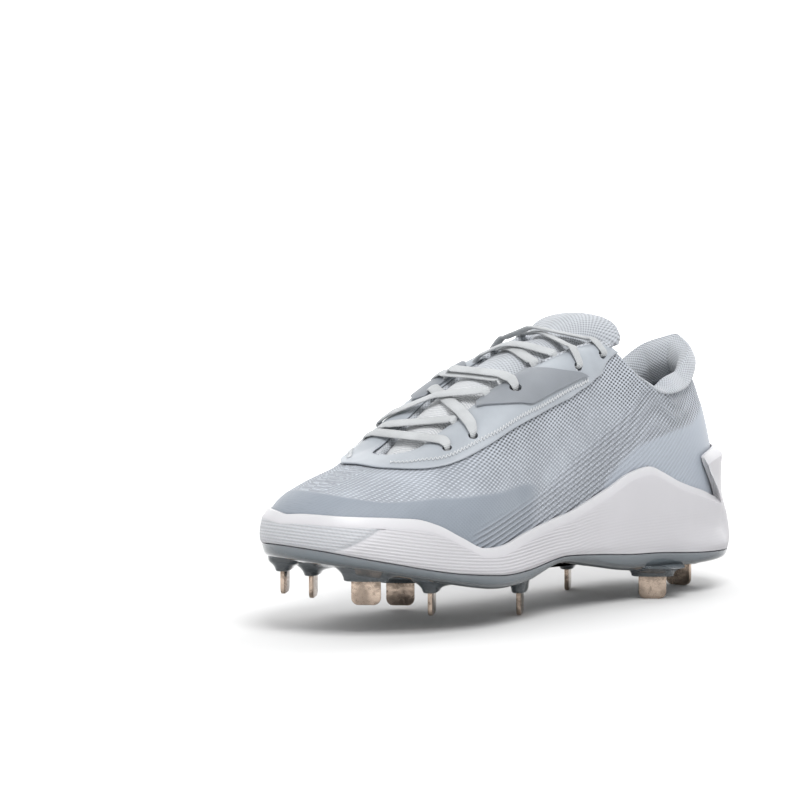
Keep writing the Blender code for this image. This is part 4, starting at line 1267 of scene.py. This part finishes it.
class CleatMidsole(bpy.types.Operator):
    """Adds the foam cup with its moulded lines."""

    bl_idname = "cleat.midsole"
    bl_label = "Midsole"

    def execute(self, context):
        w = sole_places()
        base = outline(w)
        bed = foot_bed(base[:, 1])
        height, lean = rim_at(w)
        rim = bed + height
        low = underside(base[:, 1]) + PLATE_THICKNESS + GAP
        lip = underside(base[:, 1]) + plate_lip(base[:, 1])
        seam = side_at(w, "widest") - SEAM_STEP
        inner = seam - LIP_THICKNESS - GAP
        top = w + lean
        clear = 0.012 * np.abs(lean)
        under = [
            wall_ring(w, low, inner - PLATE_TUCK),
            wall_ring(w, low + (lip - low + GAP) * 0.35, inner - PLATE_TUCK * 0.35),
            wall_ring(w, lip + 2 * GAP, inner),
        ]
        side = [
            wall_ring(w, lip + 2 * GAP, seam),
            wall_ring(w, lip + (rim - lip) * 0.16, side_at(w, "widest")),
            wall_ring(w, lip + (rim - lip) * 0.45, side_at(w, "middle")),
            wall_ring(top, rim - CHAMFER, side_at(w, "shoulder")),
        ]
        bevel = [wall_ring(top, rim, RIM_LIP + 2 * GAP + clear)]
        inside = [
            wall_ring(top, rim, 2 * GAP + clear),
            wall_ring(w + lean * 0.66, bed + height * 0.66, 2 * GAP + clear),
            wall_ring(w + lean * 0.36, bed + height * 0.36, 2 * GAP + clear),
            wall_ring(w + lean * 0.14, bed + height * 0.14, 2 * GAP),
            wall_ring(w, bed, 2 * GAP),
        ]
        face = spline(side, 40)
        slope = bevel[0] - face[-1]
        chamfer = [face[-1] + slope * s for s in (0.10, 0.5, 0.9, 1.0)]
        mouth = [bevel[0] + (inside[0] - bevel[0]) * s for s in (0.2, 0.8)]
        spine = outline(w) * np.array([0.0, 0.80])
        bottom = []
        for ring, level in ((inside[-1], bed), (under[0], low)):
            flat = [ring + (np.column_stack([spine, level]) - ring) * s for s in (0.25, 0.5, 0.75, 1.0)]
            for row in flat:
                if level is bed:
                    row[:, 2] = foot_bed(row[:, 1])
                else:
                    row[:, 2] = underside(row[:, 1]) + PLATE_THICKNESS + GAP
            bottom.append(flat)
        rows = bottom[1][::-1] + under + list(face) + chamfer + mouth + inside + bottom[0]
        points = np.array(rows)
        first = len(bottom[1]) + len(under)
        v = points[..., 2] - bed[None, :]
        ring = run_length(base)
        uv = np.stack(np.broadcast_arrays(ring[None, :], v), axis=-1)
        along = along_round(w)[None, :] * np.ones_like(v)
        on_side = np.zeros(len(rows))
        on_side[first + 2 : first + 38] = 1
        fall = fade(along, 0.30, 0.62) * 0.75
        split = (points[..., 1] + 0.1336) * 0.60 - (points[..., 2] - 0.0442)
        front = fade(split, 0.0006, -0.0006) * fade(along, 0.885, 0.900)
        line = np.exp(-((split / 0.0010) ** 2)) * fade(along, 0.885, 0.895)
        line = line * fade(points[..., 2] - lip[None, :], 0.001, 0.004)
        # Rows of the bevel at the rim; they get the foam's painted highlight.
        edge = np.zeros(len(rows))
        edge[first + 42 : first + 46] = 1
        edge[first + 41] = 0.6
        marks = dict(
            lines=on_side[:, None] * np.maximum(fall, 0.10 * fade(v, 0.012, 0.004)) * (1 - line),
            panel=on_side[:, None] * front,
            edge=edge[:, None] * np.ones_like(v),
        )
        out = np.concatenate([outward(w), np.zeros((len(w), 1))], axis=1)
        push = (line * 0.0010 * on_side[:, None])[..., None] * out[None]
        bm = laid_grid(points - push, uv, marks, joined=True)
        bmesh.ops.holes_fill(bm, edges=[e for e in bm.edges if e.is_boundary], sides=0)
        new_piece("foam_midsole", closed_out(bm), foam_finish(colours().foam), ("midsole",), 32)
        return {"FINISHED"}


def spike_frame(back, across, turn):
    y = LENGTH / 2 - back * LENGTH
    angle = math.radians(turn)
    centre = Vector((across * BALL_WIDTH + LAST_ASIDE, y, float(ground(y))))
    c, s = math.cos(angle), math.sin(angle)
    return centre, Vector((c, s, 0)), Vector((-s, c, 0))


def pod_points(centre, along_blade, over, reach):
    """Rings of a pod that flare into the plate, as far as a share of its height."""
    rows = []
    flare = [(0.0, 0.0), (0.0, 0.76), (0.02, 0.93), (0.08, 1.0)]
    flare += [(t, 1.0) for t in np.linspace(0.2, 1.12, 9)]
    for share, spread in flare + [(1.35, 0.9), (1.35, 0.0)]:
        grow = min(share, reach) ** 2.6
        length = (POD_BOTTOM_LENGTH + (POD_TOP_LENGTH * 1.08 - POD_BOTTOM_LENGTH) * grow) * spread
        width = POD_BOTTOM_WIDTH + 0.0022 * share + (POD_TOP_WIDTH * 1.12 - POD_BOTTOM_WIDTH) * grow
        width = width * spread
        row = []
        for i in range(33):
            angle = 2 * math.pi * (i % 32) / 32
            c, s = math.cos(angle), math.sin(angle)
            point = centre.copy()
            point += along_blade * (math.copysign(abs(c) ** 0.72, c) * length / 2)
            point += over * (math.copysign(abs(s) ** 0.72, s) * width / 2)
            bottom = centre.z + SPIKE_HEIGHT
            point.z = bottom + (float(underside(point.y)) - bottom) * share
            row.append(point)
        rows.append(row)
    return np.array(rows)


class CleatPlate(bpy.types.Operator):
    """Adds the clear plate with its nine pods."""

    bl_idname = "cleat.plate"
    bl_label = "Plate"

    def execute(self, context):
        w = sole_places()
        base = outline(w)
        low = underside(base[:, 1])
        lip = low + plate_lip(base[:, 1])
        seam = side_at(w, "widest") - SEAM_STEP
        inner = seam - LIP_THICKNESS
        floor = low + PLATE_THICKNESS
        outer = spline(
            [
                wall_ring(w, low, seam - PLATE_TUCK * 1.9),
                wall_ring(w, low, seam - PLATE_TUCK * 1.25),
                wall_ring(w, low + (lip - low) * 0.30, seam - PLATE_TUCK * 0.35),
                wall_ring(w, lip, seam),
            ],
            20,
        )
        hollow = [
            wall_ring(w, lip, inner),
            wall_ring(w, floor + (lip - floor) * 0.35, inner - PLATE_TUCK * 0.35),
            wall_ring(w, floor, inner - PLATE_TUCK),
        ]
        rows = []
        for ring, lift in ((outer[0], 0.0), (hollow[-1], PLATE_THICKNESS)):
            flat = []
            for share in (0.25, 0.5, 0.75, 1.0):
                row = ring.copy()
                row[:, 0] += (0 - ring[:, 0]) * share
                row[:, 1] += (0.80 * ring[:, 1] - ring[:, 1]) * share
                row[:, 2] = underside(row[:, 1]) + lift
                flat.append(row)
            rows.append(flat)
        points = np.array(rows[0][::-1] + list(outer) + hollow + rows[1])
        finish = resin_finish(colours().resin)
        # The depth mark sets the plate's painted shade: none at the lip, most towards its underside.
        tall = (points[..., 2] - low[None, :]) / (lip - low)[None, :]
        bm = laid_grid(points, points[..., :2], dict(depth=np.clip(1.05 - tall, 0, 0.8)), joined=True)
        bmesh.ops.holes_fill(bm, edges=[e for e in bm.edges if e.is_boundary], sides=0)
        plate = new_piece("spike_plate", closed_out(bm), finish, ("plate",), 40)
        for _, back, across, turn in SPIKES:
            spots = pod_points(*spike_frame(back, across, turn), 0.72 if back > 0.9 else 1.12)
            # Painted shade on the pods, most where they join the plate.
            pod_shade = (1 - 0.45 * fade(np.arange(len(spots)), 8, 2))[:, None] * np.ones(spots.shape[:2])
            bm = closed_out(laid_grid(spots, None, dict(depth=pod_shade), joined=True))
            pod = new_piece("pod_tool", bm, finish)
            subtract(plate, pod, "UNION")
            remove(pod)
        settle(plate, 40)
        return {"FINISHED"}


class CleatSpikes(bpy.types.Operator):
    """Adds the nine steel blades."""

    bl_idname = "cleat.spikes"
    bl_label = "Spikes"

    def execute(self, context):
        finish = steel_finish(colours().steel)
        half = SPIKE_WIDTH / 2
        for name, back, across, turn in SPIKES:
            centre, along_blade, over = spike_frame(back, across, turn)
            profile = [(half, SPIKE_HEIGHT + SPIKE_SEAT)]
            for i in range(8, -1, -1):
                angle = math.radians(11.25 * i)
                u = half - SPIKE_CORNER * (1 - math.cos(angle))
                profile.append((u, SPIKE_CORNER * (1 - math.sin(angle))))
            profile = profile[:1] + profile[:0:-1]
            profile = profile + [(-u, z) for u, z in reversed(profile)]
            bm = bmesh.new()
            verts = []
            for u, z in profile:
                point = centre + along_blade * u - over * (SPIKE_THICKNESS / 2)
                point.z = centre.z + z
                verts.append(bm.verts.new(point))
            face = bm.faces.new(verts)
            pushed = bmesh.ops.extrude_face_region(bm, geom=[face])
            moved = [v for v in pushed["geom"] if isinstance(v, bmesh.types.BMVert)]
            bmesh.ops.translate(bm, verts=moved, vec=over * SPIKE_THICKNESS)
            closed_out(bm)
            rims = [e for e in bm.edges if len(e.link_faces) == 2 and e.calc_face_angle(0) > math.radians(50)]
            bmesh.ops.bevel(
                bm, geom=rims, offset=0.00045, segments=3, profile=0.5, affect="EDGES", material=-1,
                clamp_overlap=True,
            )
            new_piece("blade_" + name[6:], bm, finish, (name,), 40)
        return {"FINISHED"}


def tree_of(*names):
    trees = []
    for name in names:
        mesh = bpy.data.objects[name].data
        trees.append(BVHTree.FromPolygons([v.co for v in mesh.vertices], [p.vertices for p in mesh.polygons]))
    return trees


def cover_height(covers, x, y):
    """Highest surface under a lace and how much its clearance grows with the slope there."""
    best = (0.0, 1.0)
    for tree in covers:
        spot, normal, _, _ = tree.ray_cast(Vector((x, y, 1.0)), Vector((0, 0, -1)))
        if spot is not None and spot.z > best[0]:
            best = (spot.z, 1 / max(abs(normal.z), 0.5))
    return best


def taut(across, heights):
    """A string pulled over heights: their upper hull, at the same places."""
    hull = []
    for point in zip(across, heights):
        while len(hull) > 1:
            (x0, z0), (x1, z1) = hull[-2], hull[-1]
            if (z1 - z0) * (point[0] - x0) > (point[1] - z0) * (x1 - x0):
                break
            hull.pop()
        hull.append(point)
    return np.interp(across, [p[0] for p in hull], [p[1] for p in hull])


def lace_path(outer_end, inner_end, everything):
    """One flat lace from its outer end to its inner end, with the width's direction."""
    spots = [surface(round_at(end[0], side), end[1]) for end, side in ((outer_end, 1), (inner_end, -1))]
    middle = (outer_end[0] + inner_end[0]) / 2
    ahead = opening_line(round_at(middle - 0.03, 1)) - opening_line(round_at(middle + 0.03, 1))
    slope = ahead[2] / ahead[1]
    share = np.linspace(0, 1, 57)
    line = spots[0] + (spots[1] - spots[0]) * share[:, None]
    for point in line:
        needs = []
        for side in (-0.5, 0.0, 0.5):
            shift = side * LACE_WIDTH / math.hypot(1, slope)
            height, growth = cover_height(everything, point[0], point[1] + shift)
            needs.append(height - slope * shift + (LACE_THICKNESS / 2 + LACE_RISE * 0.5) * growth)
        point[2] = max(needs)
    line[:, 2] = taut(share, line[:, 2])
    keep = line[3:-3:3]
    ends = []
    for end, side in ((outer_end, 1), (inner_end, -1)):
        w = round_at(end[0], side)
        ends.append([skin(w, end[1], -0.0045), skin(w, end[1], -0.0010), skin(w, end[1] + 0.012, 0.0026)])
    return np.vstack([ends[0], keep, ends[1][::-1]]), slope


class CleatLaces(bpy.types.Operator):
    """Runs the flat laces through the lace holes."""

    bl_idname = "cleat.laces"
    bl_label = "Laces"

    def execute(self, context):
        finish = lace_finish(colours().lace)
        straps = ("strap_flap_outer", "strap_flap_inner")
        covers = tree_of("knit_upper", "eyestay_film", *straps, "padded_tongue")
        for name, outer_low, inner_low, outer_high, inner_high in LACES:
            number = name[5:]
            for part, outer_end, inner_end in (("a", outer_low, inner_low), ("b", outer_high, inner_high)):
                path, slope = lace_path(outer_end, inner_end, covers)
                path = spline(path, 90)
                wide = np.tile(np.array([0.0, 1.0, slope]), (len(path), 1))
                run = np.linspace(0, 1, len(path))
                gather = 0.50 + 0.50 * fade(np.minimum(run, 1 - run), 0.03, 0.17)
                flat = LACE_THICKNESS / LACE_WIDTH / gather**0.7
                bm = tube(path, LACE_WIDTH / 2 * gather, 16, flat, wide)
                made = new_piece("lace_run_" + number + part, bm, finish, angle=180)
                if part == "a":
                    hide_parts(name)
                covers = covers + tree_of(made.name)
        return {"FINISHED"}


class CleatRoll(bpy.types.Operator):
    """Adds the rolled knit edge beside the top lace holes."""

    bl_idname = "cleat.roll"
    bl_label = "Throat roll"

    def execute(self, context):
        finish = fine_knit_finish("roll_knit", colours().tongue, 0.0026, 0.0022, 1.4, 0.25)
        for name, side in (("outer", 1), ("inner", -1)):
            along = np.linspace(0.462, 0.590, 40)
            w = np.array([round_at(a, side) for a in along])
            path = skin(w, np.full(40, 0.985), 0.0006)
            bm = tube(path, sizes().roll, 14, around=2 * math.pi)
            new_piece("throat_roll_" + name, bm, finish, angle=180)
        start = float(round_at(0.44, 1))
        w = np.linspace(start, 2 - start, 300)
        bm = tube(skin(w, 0.996, -0.0013), 0.0019, 14, around=2 * math.pi)
        edge = fine_knit_finish("throat_knit", colours().tongue, 0.0024, 0.0018)
        new_piece("throat_edge", bm, edge, angle=180)
        return {"FINISHED"}


class CleatStage(bpy.types.Operator):
    """Adds the studio floor, the soft lights and the camera."""

    bl_idname = "cleat.stage"
    bl_label = "Stage"

    def execute(self, context):
        bm = bmesh.new()
        bmesh.ops.create_grid(bm, x_segments=1, y_segments=1, size=60.0)
        mesh = bpy.data.meshes.new("studio_floor")
        bm.to_mesh(mesh)
        bm.free()
        floor = bpy.data.objects.new("studio_floor", mesh)
        context.scene.collection.objects.link(floor)
        mesh.materials.append(floor_finish(colours().floor))
        bm = bmesh.new()
        corners = [(-14.0, -2.0, 0.0), (2.0, 14.0, 0.0), (2.0, 14.0, 9.0), (-14.0, -2.0, 9.0)]
        bm.faces.new([bm.verts.new(corner) for corner in corners])
        mesh = bpy.data.meshes.new("studio_wall")
        bm.to_mesh(mesh)
        bm.free()
        wall = bpy.data.objects.new("studio_wall", mesh)
        context.scene.collection.objects.link(wall)
        mesh.materials.append(wall_finish())
        world = bpy.data.worlds.new("studio")
        world.use_nodes = True
        world.node_tree.nodes["Background"].inputs["Color"].default_value = (1.0, 1.0, 1.0, 1.0)
        world.node_tree.nodes["Background"].inputs["Strength"].default_value = 0.56
        context.scene.world = world
        for name, spot, size, power in (
            ("key", (1.15, -0.70, 1.75), 1.0, 42.0),
            ("fill", (-1.0, -1.2, 1.3), 1.5, 11.0),
            ("back", (-0.3, 1.5, 1.5), 1.4, 14.0),
        ):
            lamp = bpy.data.lights.new(name, "AREA")
            lamp.size = size
            lamp.energy = power
            placed = bpy.data.objects.new(name, lamp)
            placed.location = spot
            placed.rotation_euler = (Vector((0, 0, 0.05)) - Vector(spot)).to_track_quat("-Z", "Y").to_euler()
            context.scene.collection.objects.link(placed)
        azimuth, elevation = math.radians(CAMERA["azimuth"]), math.radians(CAMERA["elevation"])
        back = Vector(
            (
                math.sin(azimuth) * math.cos(elevation),
                -math.cos(azimuth) * math.cos(elevation),
                math.sin(elevation),
            )
        )
        lens = bpy.data.cameras.new("camera")
        lens.sensor_width = 36.0
        lens.lens = CAMERA["lens"]
        lens.shift_x = (400 - 505.75) / 800
        lens.shift_y = (488.94 - 400) / 800
        lens.clip_start = 0.05
        camera = bpy.data.objects.new("camera", lens)
        camera.location = Vector((0, 0, CAMERA["height"])) + back * CAMERA["distance"]
        camera.rotation_euler = back.to_track_quat("Z", "Y").to_euler()
        context.scene.collection.objects.link(camera)
        context.scene.camera = camera
        context.scene.view_settings.view_transform = "Standard"
        return {"FINISHED"}


OPERATORS = (
    CleatUpper,
    CleatOverlays,
    CleatStitching,
    CleatTongue,
    CleatLining,
    CleatInsole,
    CleatMidsole,
    CleatPlate,
    CleatSpikes,
    CleatRoll,
    CleatLaces,
    CleatStage,
)


class CleatPanel(bpy.types.Panel):
    """Lists the pieces of the cleat."""

    bl_idname = "VIEW3D_PT_cleat"
    bl_label = "Baseball Cleat"
    bl_space_type = "VIEW_3D"
    bl_region_type = "UI"
    bl_category = "Cleat"

    def draw(self, context):
        for operator in OPERATORS:
            self.layout.operator(operator.bl_idname)
        for settings in (context.scene.cleat_colours, context.scene.cleat_sizes):
            for key in settings.__annotations__:
                self.layout.prop(settings, key)


CLASSES = (CleatColours, CleatSizes) + OPERATORS + (CleatPanel,)


def register():
    for cls in CLASSES:
        bpy.utils.register_class(cls)
    bpy.types.Scene.cleat_colours = PointerProperty(type=CleatColours)
    bpy.types.Scene.cleat_sizes = PointerProperty(type=CleatSizes)


def unregister():
    del bpy.types.Scene.cleat_sizes
    del bpy.types.Scene.cleat_colours
    for cls in reversed(CLASSES):
        bpy.utils.unregister_class(cls)


def main():
    register()
    for operator in OPERATORS:
        group, name = operator.bl_idname.split(".")
        getattr(getattr(bpy.ops, group), name)()


if __name__ == "__main__":
    main()
